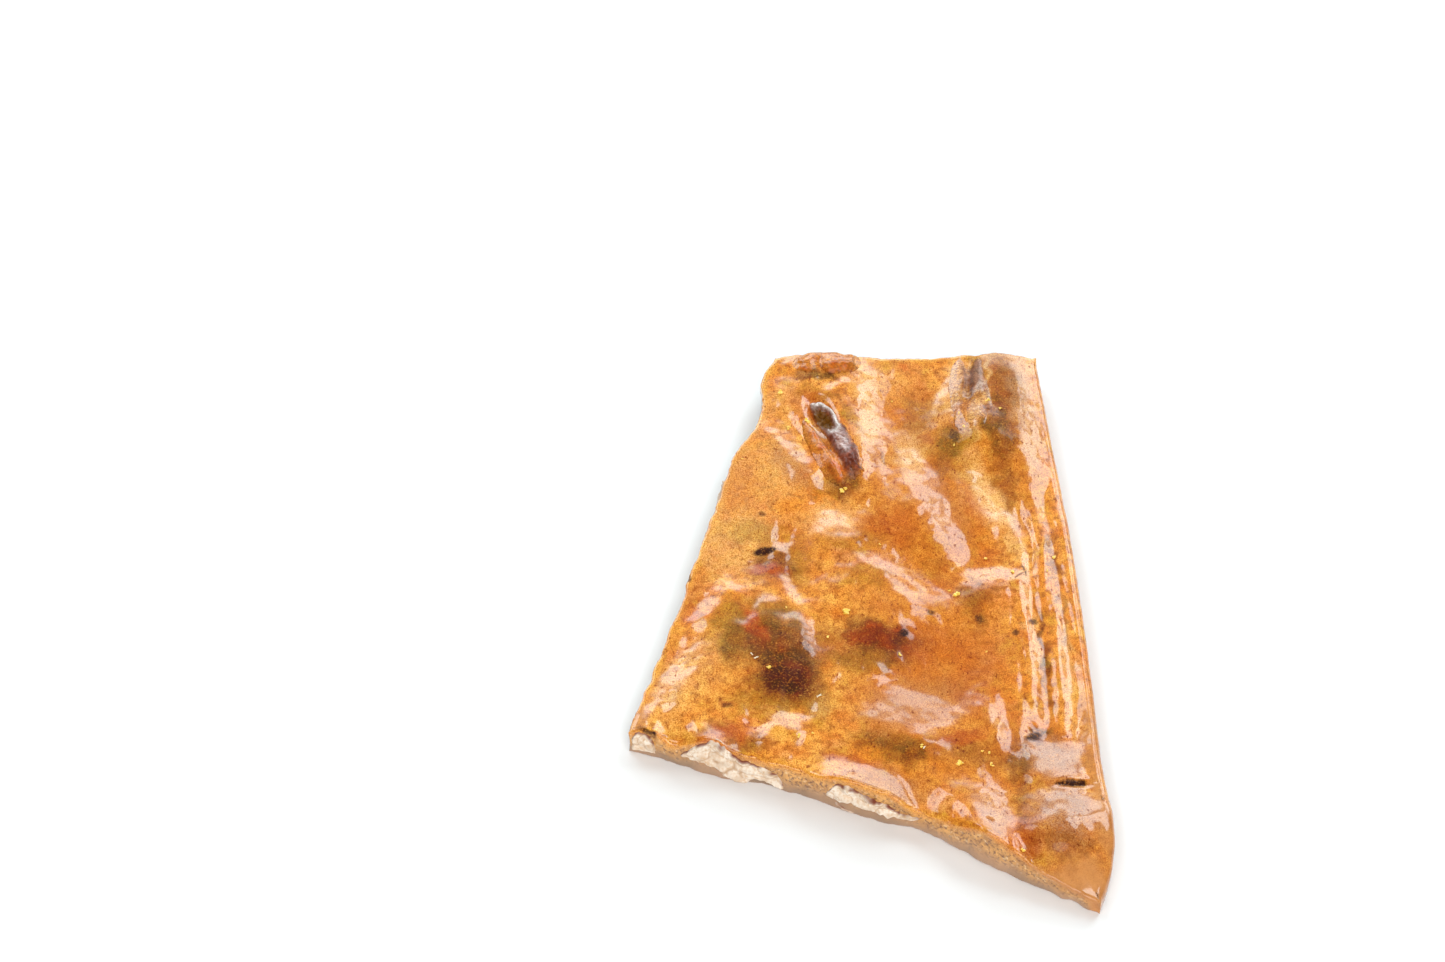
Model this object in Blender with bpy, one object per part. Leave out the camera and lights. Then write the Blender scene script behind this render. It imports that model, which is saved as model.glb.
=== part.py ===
"""Pecan brittle: one broken piece of a poured sheet of amber candy, with pecans set in it.

Metres, +Z up. The origin is on the table under the middle of the piece. +Y runs to the
square end and -Y to the pointed end. Every size below is in millimetres.
"""

import math

import bmesh
import bpy
from mathutils import Matrix, Vector, noise

MM = 0.001

# Outline of the piece seen from above: its four corners, and the points between them.
FRONT_LEFT = (-38.6, -25.6)
TIP = (35.8, -58.1)
REAR_RIGHT = (31.5, 57.3)
REAR_LEFT = (-14.2, 56.6)
FRONT_FOOT = [(-30.6, -28.4), (-23.9, -31.0), (-14.3, -33.4), (-2.6, -38.3), (4.4, -40.7), (9.0, -42.1),
              (15.6, -46.6), (23.0, -51.2), (30.4, -55.2)]
RIGHT_SIDE = [(38.1, -51.0), (38.7, -43.5), (37.6, -31.4), (36.8, -10.4), (35.2, 17.7), (33.0, 41.0)]
REAR_SIDE = [(-10.0, 57.2), (-2.0, 57.0), (8.0, 57.3), (20.0, 57.8), (27.0, 57.6)]
LEFT_SIDE = [(-36.6, -18.9), (-32.0, -3.9), (-28.2, 9.5), (-23.4, 26.7), (-21.4, 34.6), (-17.1, 41.8),
             (-16.4, 52.0)]

# Thickness of the poured sheet.
MIDDLE_THICKNESS = 5.5
REAR_THICKNESS = 6.3
TIP_THICKNESS = 2.4
TIP_REACH = 17.0
# Height of the rim along the broken front edge, as x and height.
FRONT_RIM = [(-38.6, 4.6), (-35.0, 5.6), (-31.5, 3.9), (-26.0, 6.5), (-18.0, 5.2), (-12.0, 5.6),
             (-4.0, 6.4), (2.0, 6.1), (8.0, 3.8), (12.5, 4.4), (18.0, 6.5), (22.0, 5.8), (26.0, 3.3),
             (30.0, 2.8), (35.8, 2.4)]
FRONT_RIM_REACH = 8.0
# How far the rim along that edge lies in from its foot, as x and inset.
FRONT_LEAN = [(-38.6, 0.4), (-35.0, 1.0), (-31.5, 0.8), (-26.0, 2.0), (-20.0, 1.0), (-12.0, 0.4), (-4.0, 0.7),
              (2.0, 0.5), (8.0, 0.2), (18.0, 0.9), (26.0, 0.3), (35.8, 0.2)]

# Swells of the top over buried pecans. Each is the middle x and y, the half-length along the
# turn, the half-width, the turn in degrees from +X and the rise. A negative rise is a hollow.
SWELLS = [
    (-15.0, -9.0, 12.0, 7.5, 110, 0.9),
    (1.5, -4.5, 9.0, 7.0, 0, 0.4),
    (-16.5, 10.5, 3.2, 1.6, 20, -0.8),
    (-4.0, 35.5, 14.0, 6.4, 110, 1.3),
    (-6.4, 42.6, 3.6, 1.7, 110, -2.4),
    (21.5, 38.5, 6.5, 6.0, 92, 0.7),
    (-5.5, 54.5, 8.0, 4.0, 0, 1.3),
    (20.5, 3.0, 7.5, 3.6, 15, 0.5),
    (32.0, -38.0, 10.0, 5.5, 96, 0.6),
]

# Folds of the flow. Each is the middle x and y, the half-size down its slope, the half-size
# across it, the way that the slope faces in degrees from +Y towards +X, and how steep it is.
FOLDS = [
    (2.6, 39.0, 2.3, 12.5, 88, 0.28),
    (-1.5, 51.5, 1.6, 5.0, -27, 0.20),
    (30.3, 42.0, 2.5, 17.0, 86, 0.27),
    (16.8, 50.0, 2.8, 8.0, -72, 0.24),
    (19.0, 41.0, 1.6, 3.5, -60, 0.18),
    (-10.6, 34.5, 1.9, 7.5, 60, 0.32),
    (-4.8, 20.0, 4.0, 4.5, 8, 0.18),
    (8.8, 35.0, 2.4, 5.5, 70, 0.15),
    (13.2, 20.5, 3.0, 8.5, 74, 0.27),
    (20.8, 24.5, 3.0, 7.5, 62, 0.25),
    (7.8, 6.0, 3.2, 7.5, 50, 0.23),
    (-2.5, 9.5, 1.4, 3.8, -40, 0.20),
    (20.5, 7.0, 1.7, 5.0, 5, 0.20),
    (-12.3, 3.0, 1.0, 3.0, 60, 0.26),
    (-13.8, 14.0, 1.5, 1.6, 15, 0.24),
    (-26.0, 1.0, 2.2, 4.5, -50, 0.20),
    (-32.5, -17.5, 3.2, 9.0, -60, 0.30),
    (-9.6, -6.0, 0.9, 6.0, 85, 0.26),
    (-19.6, -1.5, 0.6, 1.6, -60, 0.30),
    (7.5, -21.5, 5.0, 6.5, 25, 0.19),
    (-12.5, -22.5, 2.0, 3.5, 60, 0.22),
    (-17.5, -26.5, 1.5, 2.8, -10, 0.24),
    (21.3, -23.5, 1.4, 5.0, 80, 0.26),
    (2.0, -37.0, 3.0, 7.0, 20, 0.22),
    (20.5, -42.0, 2.8, 6.0, 65, 0.26),
    (30.0, -31.0, 4.6, 3.8, 10, 0.24),
    (31.2, -42.3, 4.0, 5.0, 5, 0.24),
    (30.0, -51.5, 0.8, 2.0, -10, 0.22),
    (-11.0, 51.2, 2.0, 4.0, -20, 0.16),
]
FOLD_CREASE = 0.6
FOLD_EASE = 2.8
FOLD_WANDER = 0.7
FOLD_GRAIN = 4.5

# Flow ridges, which run beside the smooth right side.
RIDGE_SPACING = 4.6
RIDGE_FIRST = 0.95
RIDGE_BAND = 12.5
RIDGE_HEIGHT = 0.2
RIDGE_FRONT_END = -30.0
RIDGE_REAR_END = 30.0

# Slow waves of the top, longer along the flow than across it.
WAVE_ACROSS = 6.5
WAVE_ALONG = 13.0
WAVE_HEIGHT = 0.12

# Edges: the smooth right side is rounded over, and the others are broken.
SMOOTH_ROUND = 1.3
BROKEN_ROUND = 0.45
FOOT_ROUND = 0.35
CRAG_SIZE = 3.2
CRAG_DEPTH = 0.45

# Grid of the slab: columns from left to right, rows from front to rear.
COLUMNS = 32
ROWS = 46
RIGHT_CROWDING = 0.35

# Gap between a pecan and the candy round it.
GAP = 0.32

# Pecans: the middle, the length, width and height, the turn of the long axis from +X, its
# pitch, the depth of the groove between the two lobes, and how ragged the kernel is.
PECANS = {
    "pecan_half_top": dict(middle=(-4.1, 35.2, 5.25), size=(24.0, 9.6, 6.9), turn=110, pitch=2, groove=2.4,
                           ragged=0.10),
    "pecan_half_rear": dict(middle=(20.3, 45.6, 5.05), size=(27.0, 9.8, 6.4), turn=93, pitch=0, groove=1.6,
                            ragged=0.10),
    "pecan_rear_left": dict(middle=(-5.3, 55.0, 6.2), size=(12.5, 6.4, 5.2), turn=2, pitch=0, groove=0.6,
                            ragged=0.12),
    "pecan_rear_middle": dict(middle=(9.5, 56.2, 3.3), size=(11.0, 8.0, 4.0), turn=0, pitch=4, groove=0.9,
                              ragged=0.30),
    "pecan_front_left": dict(middle=(-22.0, -30.6, 3.4), size=(17.5, 11.0, 4.8), turn=-16.5, pitch=6,
                             groove=1.0, ragged=0.26),
    "pecan_front_middle": dict(middle=(0.3, -38.6, 3.9), size=(15.5, 8.0, 3.3), turn=-20.6, pitch=6,
                               groove=0.7, ragged=0.28),
    "pecan_front_corner": dict(middle=(-37.0, -25.0, 2.8), size=(7.0, 6.0, 3.9), turn=25, pitch=0,
                               groove=0.3, ragged=0.20),
    "pecan_left_middle": dict(middle=(-23.4, 26.8, 3.2), size=(8.5, 5.4, 3.9), turn=74, pitch=5,
                              groove=0.5, ragged=0.26),
    "pecan_left_rear": dict(middle=(-19.0, 38.4, 3.3), size=(6.5, 4.6, 3.4), turn=60, pitch=0,
                            groove=0.4, ragged=0.26),
}
STANDS_PROUD = ("pecan_half_top", "pecan_half_rear", "pecan_rear_left")
PECAN_RINGS = 14
PECAN_SIDES = 16
WRINKLE = 0.06
RAG_SIZE = 0.55
REAR_CUT_INSET = 0.25

# Colours as sRGB hex, with roughness.
CANDY_FINISH = ("C87A20", 0.30)
SKIN_FINISH = ("7A3A18", 0.38)
GLAZED_FINISH = ("A8561C", 0.30)
FLESH_FINISH = ("DCC8A4", 0.65)
FINISHES = {
    "pecan_half_top": SKIN_FINISH,
    "pecan_half_rear": SKIN_FINISH,
    "pecan_rear_left": GLAZED_FINISH,
}


def smooth_step(value):
    value = min(1.0, max(0.0, value))
    return value * value * (3.0 - 2.0 * value)


def spline(points, per_span=24):
    """Closely spaced points on a smooth curve through the given ones."""
    ends = [points[0]] + points + [points[-1]]
    dense = []
    for a, b, c, d in zip(ends, ends[1:], ends[2:], ends[3:]):
        for step in range(per_span):
            t = step / per_span
            weights = (
                -0.5 * t + t * t - 0.5 * t ** 3,
                1.0 - 2.5 * t * t + 1.5 * t ** 3,
                0.5 * t + 2.0 * t * t - 1.5 * t ** 3,
                -0.5 * t * t + 0.5 * t ** 3,
            )
            dense.append(sum((Vector(p) * w for p, w in zip((a, b, c, d), weights)), Vector((0.0, 0.0))))
    dense.append(Vector(points[-1]))
    return dense


def spaced(points, fractions):
    """Points on the smooth curve at the given fractions of its length."""
    dense = spline(points)
    lengths = [0.0]
    for a, b in zip(dense, dense[1:]):
        lengths.append(lengths[-1] + (b - a).length)
    found = []
    index = 0
    for fraction in fractions:
        wanted = fraction * lengths[-1]
        while index < len(dense) - 2 and lengths[index + 1] < wanted:
            index += 1
        part = (wanted - lengths[index]) / (lengths[index + 1] - lengths[index])
        found.append(dense[index].lerp(dense[index + 1], min(1.0, part)))
    return found


def along_line(line, x):
    """The value at x of a line given as points, smooth between them."""
    for (x0, y0), (x1, y1) in zip(line, line[1:]):
        if x <= x1:
            return y0 + (y1 - y0) * smooth_step((x - x0) / (x1 - x0))
    return line[-1][1]


def side_line(points, across):
    """The side's points as pairs of place along `across` and the other coordinate."""
    return [(point[across], point[1 - across]) for point in points]


FRONT_LINE = side_line([FRONT_LEFT] + FRONT_FOOT + [TIP], 0)
RIGHT_LINE = side_line([TIP] + RIGHT_SIDE + [REAR_RIGHT], 1)


def straight_line(line, x):
    for (x0, y0), (x1, y1) in zip(line, line[1:]):
        if x <= x1:
            return y0 + (y1 - y0) * (x - x0) / (x1 - x0)
    return line[-1][1]


def swell(x, y, middle_x, middle_y, half_length, half_width, turn, rise):
    angle = math.radians(turn)
    along = (x - middle_x) * math.cos(angle) + (y - middle_y) * math.sin(angle)
    across = (y - middle_y) * math.cos(angle) - (x - middle_x) * math.sin(angle)
    return rise * math.exp(-(along / half_length) ** 2 - (across / half_width) ** 2)


def rounded_corner(value):
    """The size of the value, rounded where it turns at zero."""
    return abs(value) + math.log1p(math.exp(-2.0 * abs(value)))


def fold(x, y, middle_x, middle_y, down, across, facing, steep):
    """A ramp in the top that faces one way. Beyond its ends the top eases back to level."""
    angle = math.radians(facing)
    ahead = (x - middle_x) * math.sin(angle) + (y - middle_y) * math.cos(angle)
    aside = (x - middle_x) * math.cos(angle) - (y - middle_y) * math.sin(angle)
    before, behind = (ahead + down) / FOLD_CREASE, (ahead - down) / FOLD_CREASE
    ramp = 0.5 * FOLD_CREASE * (rounded_corner(before) - rounded_corner(behind))
    ease = math.exp(-0.5 * (ahead / (FOLD_EASE * down)) ** 2)
    return -steep * ramp * ease * math.exp(-0.5 * (aside / across) ** 4)


def flow_ridges(x, y):
    inset = straight_line(RIGHT_LINE, y) - x
    band = smooth_step(inset / 1.5) * smooth_step((RIDGE_BAND - inset) / 3.0)
    reach = smooth_step((y - RIDGE_FRONT_END) / 10.0) * smooth_step((RIDGE_REAR_END - y) / 12.0)
    bent = inset + 0.7 * noise.noise(Vector((x / 5.0, y / 9.0, 4.4)))
    height = RIDGE_HEIGHT * (1.0 + 0.8 * noise.noise(Vector((x / 3.0, y / 8.0, 7.1))))
    return height * band * reach * math.cos(2.0 * math.pi * (bent - RIDGE_FIRST) / RIDGE_SPACING)


def top_height(x, y):
    """Height of the candy's top above the table."""
    rear = smooth_step(y / REAR_RIGHT[1])
    height = MIDDLE_THICKNESS + (REAR_THICKNESS - MIDDLE_THICKNESS) * rear
    from_tip = math.hypot(x - TIP[0], y - TIP[1])
    height -= (MIDDLE_THICKNESS - TIP_THICKNESS) * smooth_step(1.0 - from_tip / TIP_REACH)
    height += sum(swell(x, y, *each) for each in SWELLS)
    from_front = y - straight_line(FRONT_LINE, x)
    near_front = smooth_step(1.0 - from_front / FRONT_RIM_REACH)
    height += (along_line(FRONT_RIM, x) - height) * near_front
    height += flow_ridges(x, y)
    height += WAVE_HEIGHT * noise.noise(Vector((x / WAVE_ACROSS, y / WAVE_ALONG, 0.37)))
    bent_x = x + FOLD_WANDER * noise.noise(Vector((x / FOLD_GRAIN, y / FOLD_GRAIN, 6.6)))
    bent_y = y + FOLD_WANDER * noise.noise(Vector((x / FOLD_GRAIN, y / FOLD_GRAIN, 1.9)))
    return height + sum(fold(bent_x, bent_y, *each) for each in FOLDS)


def outline():
    """The outline as one loop, anticlockwise from the front left corner.

    Each point comes with its side: front, right, rear or left.
    """
    columns = [i / COLUMNS for i in range(COLUMNS + 1)]
    columns = [t + RIGHT_CROWDING * t * (1.0 - t) for t in columns]
    rows = [j / ROWS for j in range(ROWS + 1)]
    front = spaced([FRONT_LEFT] + FRONT_FOOT + [TIP], columns)
    right = spaced([TIP] + RIGHT_SIDE + [REAR_RIGHT], rows)
    rear = spaced([REAR_LEFT] + REAR_SIDE + [REAR_RIGHT], columns)
    left = spaced([FRONT_LEFT] + LEFT_SIDE + [REAR_LEFT], rows)
    loop = [(point, "front") for point in front[:-1]]
    loop += [(point, "right") for point in right[:-1]]
    loop += [(point, "rear") for point in reversed(rear[1:])]
    loop += [(point, "left") for point in reversed(left[1:])]
    return loop, columns, rows


def outward_normals(loop):
    """The outward direction of the wall at each point of the loop."""
    count = len(loop)
    normals = []
    for index in range(count):
        before = (loop[index][0] - loop[index - 1][0]).normalized()
        after = (loop[(index + 1) % count][0] - loop[index][0]).normalized()
        middle = (before + after).normalized()
        normals.append(Vector((middle.y, -middle.x)))
    return normals


def wall_rings(loop, normals):
    """Rings of points down the wall, from the rim of the top to the flat underside."""
    rings = [[] for _ in range(7)]
    for (point, side), normal in zip(loop, normals):
        height = top_height(point.x, point.y)
        radius = SMOOTH_ROUND if side == "right" else BROKEN_ROUND
        crag = CRAG_DEPTH * (0.15 if side == "right" else 1.0)
        lean = along_line(FRONT_LEAN, point.x) if side == "front" else 0.0
        below = height - radius
        insets_and_heights = (
            (radius, height),
            (0.3 * radius, height - 0.3 * radius),
            (0.0, below),
            (0.0, 0.64 * below),
            (0.0, 0.32 * below),
            (0.0, FOOT_ROUND),
            (FOOT_ROUND, 0.0),
        )
        for ring, (inset, level) in zip(rings, insets_and_heights):
            place = Vector((point.x, point.y, level)) / CRAG_SIZE
            relief = crag * noise.noise(place)
            out = point + normal * (relief - inset - lean * level / height)
            ring.append(Vector((out.x, out.y, level)))
    return rings


def patch_between(rim, columns, rows):
    """Rows of points that fill the inside of the rim, blended from its four sides."""
    wide, deep = len(columns) - 1, len(rows) - 1
    front = rim[:wide + 1]
    right = rim[wide:wide + deep + 1]
    rear = list(reversed(rim[wide + deep:2 * wide + deep + 1]))
    left = list(reversed(rim[2 * wide + deep:] + rim[:1]))
    grid = []
    for j, v in enumerate(rows):
        line = []
        for i, u in enumerate(columns):
            sides = front[i] * (1 - v) + rear[i] * v + left[j] * (1 - u) + right[j] * u
            corners = (front[0] * (1 - u) + front[-1] * u) * (1 - v) + (rear[0] * (1 - u) + rear[-1] * u) * v
            line.append(sides - corners)
        grid.append(line)
    return grid


def build_slab():
    loop, columns, rows = outline()
    rings = wall_rings(loop, outward_normals(loop))
    mesh = bmesh.new()
    ring_verts = [[mesh.verts.new(point * MM) for point in ring] for ring in rings]
    rim = ring_verts[0]
    wide, deep = COLUMNS, ROWS
    grid = []
    for j, line in enumerate(patch_between(rings[0], columns, rows)):
        row = []
        for i, point in enumerate(line):
            if j == 0:
                row.append(rim[i])
            elif i == wide:
                row.append(rim[wide + j])
            elif j == deep:
                row.append(rim[wide + deep + wide - i])
            elif i == 0:
                row.append(rim[2 * wide + 2 * deep - j])
            else:
                row.append(mesh.verts.new(Vector((point.x, point.y, top_height(point.x, point.y))) * MM))
        grid.append(row)
    for lower, upper in zip(grid, grid[1:]):
        for i in range(wide):
            mesh.faces.new((lower[i], lower[i + 1], upper[i + 1], upper[i]))
    for upper, lower in zip(ring_verts, ring_verts[1:]):
        for index in range(len(upper)):
            after = (index + 1) % len(upper)
            mesh.faces.new((upper[index], lower[index], lower[after], upper[after]))
    mesh.faces.new(reversed(ring_verts[-1]))
    return to_object(mesh, "candy_slab")


def build_pecan(name, rags, middle, size, turn, pitch, groove, ragged, grow=0.0):
    """A pecan kernel: two lobes, a groove that deepens to one end, and wrinkles across.

    rags picks this kernel's own pattern of ragged places.
    """
    length, width, height = size
    mesh = bmesh.new()
    rings = []
    for index in range(1, PECAN_RINGS):
        angle = math.pi * index / PECAN_RINGS
        girth = math.sin(angle) ** 0.75
        depth = groove * girth * (0.6 - 0.5 * math.cos(angle))
        ring = []
        for side in range(PECAN_SIDES):
            around = 2.0 * math.pi * side / PECAN_SIDES
            across, up = girth * math.cos(around), girth * math.sin(around)
            place = Vector((-math.cos(angle), across, up)) / RAG_SIZE + Vector((7.0 * rags, 0.0, 0.0))
            swelling = 1.0 + ragged * noise.noise(place)
            y = 0.5 * width * across * swelling
            z = 0.5 * height * up * swelling
            if up > 0.0:
                z -= depth * math.exp(-(y / (0.14 * width)) ** 2)
                z -= WRINKLE * height * girth * (0.5 + 0.5 * math.cos(9.0 * angle + 1.5 * around))
            ring.append(mesh.verts.new(Vector((-0.5 * length * math.cos(angle), y, z))))
        rings.append(ring)
    start = mesh.verts.new(Vector((-0.5 * length, 0.0, 0.0)))
    end = mesh.verts.new(Vector((0.5 * length, 0.0, 0.0)))
    for side in range(PECAN_SIDES):
        after = (side + 1) % PECAN_SIDES
        mesh.faces.new((start, rings[0][after], rings[0][side]))
        mesh.faces.new((end, rings[-1][side], rings[-1][after]))
        for lower, upper in zip(rings, rings[1:]):
            mesh.faces.new((lower[side], lower[after], upper[after], upper[side]))
    bmesh.ops.recalc_face_normals(mesh, faces=mesh.faces)
    mesh.normal_update()
    for vert in mesh.verts:
        vert.co += vert.normal * grow
    placing = Matrix.Translation(middle) @ Matrix.Rotation(math.radians(turn), 4, "Z")
    placing = placing @ Matrix.Rotation(math.radians(pitch), 4, "Y")
    mesh.transform(Matrix.Scale(MM, 4) @ placing)
    return to_object(mesh, name)


def to_object(mesh, name):
    data = bpy.data.meshes.new(name)
    mesh.to_mesh(data)
    mesh.free()
    piece = bpy.data.objects.new(name, data)
    bpy.context.scene.collection.objects.link(piece)
    return piece


def combine(piece, other, operation):
    """Applies a Boolean of the other object to the piece."""
    cut = piece.modifiers.new("cut", "BOOLEAN")
    cut.operation = operation
    cut.object = other
    graph = bpy.context.evaluated_depsgraph_get()
    result = bpy.data.meshes.new_from_object(piece.evaluated_get(graph))
    piece.modifiers.clear()
    old = piece.data
    piece.data = result
    bpy.data.meshes.remove(old)


def drop_scraps(piece):
    """Keeps the largest body of the piece, and drops what a cut has left loose."""
    mesh = bmesh.new()
    mesh.from_mesh(piece.data)
    unseen = set(mesh.verts)
    bodies = []
    while unseen:
        body = set()
        waiting = [unseen.pop()]
        while waiting:
            vert = waiting.pop()
            body.add(vert)
            for edge in vert.link_edges:
                other = edge.other_vert(vert)
                if other in unseen:
                    unseen.remove(other)
                    waiting.append(other)
        bodies.append(body)
    bodies.sort(key=len)
    scraps = [vert for body in bodies[:-1] for vert in body]
    bmesh.ops.delete(mesh, geom=scraps, context="VERTS")
    mesh.to_mesh(piece.data)
    mesh.free()


def cut_flush_with_rear(piece):
    """Cuts off what would reach past the broken rear side, and closes the cut."""
    mesh = bmesh.new()
    mesh.from_mesh(piece.data)
    everything = mesh.verts[:] + mesh.edges[:] + mesh.faces[:]
    plane = Vector((0.0, REAR_RIGHT[1] - REAR_CUT_INSET, 0.0)) * MM
    result = bmesh.ops.bisect_plane(
        mesh, geom=everything, plane_co=plane, plane_no=(0.0, 1.0, 0.0), clear_outer=True, dist=1e-7
    )
    rim = [item for item in result["geom_cut"] if isinstance(item, bmesh.types.BMEdge)]
    if rim:
        bmesh.ops.holes_fill(mesh, edges=rim)
    mesh.to_mesh(piece.data)
    mesh.free()


def linear(channel):
    return channel / 12.92 if channel <= 0.04045 else ((channel + 0.055) / 1.055) ** 2.4


def finish(piece, colour, roughness):
    material = bpy.data.materials.new(piece.name)
    material.use_nodes = True
    shader = material.node_tree.nodes["Principled BSDF"]
    rgb = [linear(int(colour[i:i + 2], 16) / 255.0) for i in (0, 2, 4)]
    shader.inputs["Base Color"].default_value = (*rgb, 1.0)
    shader.inputs["Roughness"].default_value = roughness
    shader.inputs["Metallic"].default_value = 0.0
    piece.data.materials.clear()
    piece.data.materials.append(material)
    piece.data.shade_smooth()
    piece.data.set_sharp_from_angle(angle=math.radians(40.0))


def clear_scene():
    for item in list(bpy.data.objects):
        bpy.data.objects.remove(item, do_unlink=True)


def main():
    clear_scene()
    slab = build_slab()
    whole_slab = slab.copy()
    whole_slab.data = slab.data.copy()
    bpy.context.scene.collection.objects.link(whole_slab)
    pecans = []
    for rags, (name, shape) in enumerate(PECANS.items()):
        pecan = build_pecan(name, rags, **shape)
        if name in STANDS_PROUD:
            cut_flush_with_rear(pecan)
        else:
            combine(pecan, whole_slab, "INTERSECT")
        pecans.append(pecan)
        pocket = build_pecan("pocket", rags, grow=GAP, **shape)
        combine(slab, pocket, "DIFFERENCE")
        bpy.data.objects.remove(pocket, do_unlink=True)
    bpy.data.objects.remove(whole_slab, do_unlink=True)
    drop_scraps(slab)
    finish(slab, *CANDY_FINISH)
    for pecan in pecans:
        drop_scraps(pecan)
        finish(pecan, *FINISHES.get(pecan.name, FLESH_FINISH))


main()
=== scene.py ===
"""Pecan brittle: one broken piece of amber candy with pecans set in it, on a pale table."""

import math
import random

import bmesh
import bpy
import numpy as np
from mathutils import Matrix, Vector, geometry, noise


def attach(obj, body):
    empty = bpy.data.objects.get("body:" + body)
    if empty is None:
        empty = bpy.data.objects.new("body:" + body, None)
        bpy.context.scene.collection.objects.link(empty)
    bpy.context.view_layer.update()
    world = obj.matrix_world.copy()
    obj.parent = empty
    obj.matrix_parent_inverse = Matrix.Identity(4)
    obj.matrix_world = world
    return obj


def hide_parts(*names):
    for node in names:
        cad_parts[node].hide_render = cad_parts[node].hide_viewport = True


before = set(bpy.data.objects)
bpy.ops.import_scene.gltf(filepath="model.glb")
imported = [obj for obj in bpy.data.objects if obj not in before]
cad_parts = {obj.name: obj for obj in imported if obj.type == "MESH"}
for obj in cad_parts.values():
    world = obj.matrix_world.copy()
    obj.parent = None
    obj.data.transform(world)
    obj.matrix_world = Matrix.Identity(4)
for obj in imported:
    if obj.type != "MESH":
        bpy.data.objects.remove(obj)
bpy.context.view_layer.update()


# The candy sheet
# A piece of boiled sugar and butter, poured on a flat slab and broken by hand when cold.
# Its top set in the air: it sank round the pecans under it and kept the folds of its flow.
# It is one fine closed skin: the top, a rounded right side, broken walls and a flat base.
MM = 0.001

# Outline seen from above, in millimetres: the corners and the points between them.
FRONT_LEFT = (-38.6, -25.6)
TIP = (35.8, -58.1)
REAR_RIGHT = (31.5, 57.3)
REAR_LEFT = (-14.2, 56.6)
FRONT_FOOT = [(-30.6, -28.4), (-23.9, -31.0), (-14.3, -33.4), (-2.6, -38.3), (4.4, -40.7), (9.0, -42.1),
              (15.6, -46.6), (23.0, -51.2), (30.4, -55.2)]
RIGHT_SIDE = [(38.1, -51.0), (38.7, -43.5), (37.6, -31.4), (36.8, -10.4), (35.2, 17.7), (33.0, 41.0)]
REAR_SIDE = [(-10.0, 57.2), (-2.0, 57.0), (8.0, 57.3), (20.0, 57.8), (27.0, 57.6)]
LEFT_SIDE = [(-36.6, -18.9), (-32.0, -3.9), (-28.2, 9.5), (-23.4, 26.7), (-21.4, 34.6), (-17.1, 41.8),
             (-16.4, 52.0)]
SIDES = {
    "front": [FRONT_LEFT] + FRONT_FOOT + [TIP],
    "right": [TIP] + RIGHT_SIDE + [REAR_RIGHT],
    "rear": [REAR_LEFT] + REAR_SIDE + [REAR_RIGHT],
    "left": [FRONT_LEFT] + LEFT_SIDE + [REAR_LEFT],
}

# Thickness in the middle, at the rear and at the tip, and how far the tip's thin end reaches.
MIDDLE_THICKNESS = 5.5
REAR_THICKNESS = 6.3
TIP_THICKNESS = 2.4
TIP_REACH = 17.0
# Along the front, by x: the rim's height, and how far the wall leans in at the rim.
FRONT_RIM = [(-38.6, 4.6), (-35.0, 5.6), (-31.5, 3.9), (-26.0, 6.5), (-18.0, 5.2), (-12.0, 5.6),
             (-4.0, 6.4), (2.0, 6.1), (8.0, 3.8), (12.5, 4.4), (18.0, 6.5), (22.0, 5.8), (26.0, 3.3),
             (30.0, 2.8), (35.8, 2.4)]
FRONT_LEAN = [(-38.6, 0.4), (-35.0, 1.0), (-31.5, 0.8), (-26.0, 2.0), (-20.0, 1.0), (-12.0, 0.4),
              (-4.0, 0.7), (2.0, 0.5), (8.0, 0.2), (18.0, 0.9), (26.0, 0.3), (35.8, 0.2)]
FRONT_RIM_REACH = 8.0

# Swells over buried pecans: middle x and y, half-length, half-width, turn in degrees and rise.
SWELLS = [
    (-15, -9, 12, 7.5, 110, 0.9), (1.5, -4.5, 9, 7, 0, 0.4), (-16.5, 10.5, 3.2, 1.6, 20, -0.4),
    (-4, 35.5, 14, 6.4, 110, 1.3), (-6.4, 42.6, 3.6, 1.7, 110, -2.4), (21.5, 38.5, 6.5, 6, 92, 0.7),
    (20.3, 52, 5.5, 1.2, 80, -1), (-5.5, 54.5, 8, 4, 0, 1.3), (20.5, 3, 7.5, 3.6, 15, 0.5),
    (32, -38, 10, 5.5, 96, 0.6), (32.4, -36.4, 2.6, 0.5, 5, -0.7),
]
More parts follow.
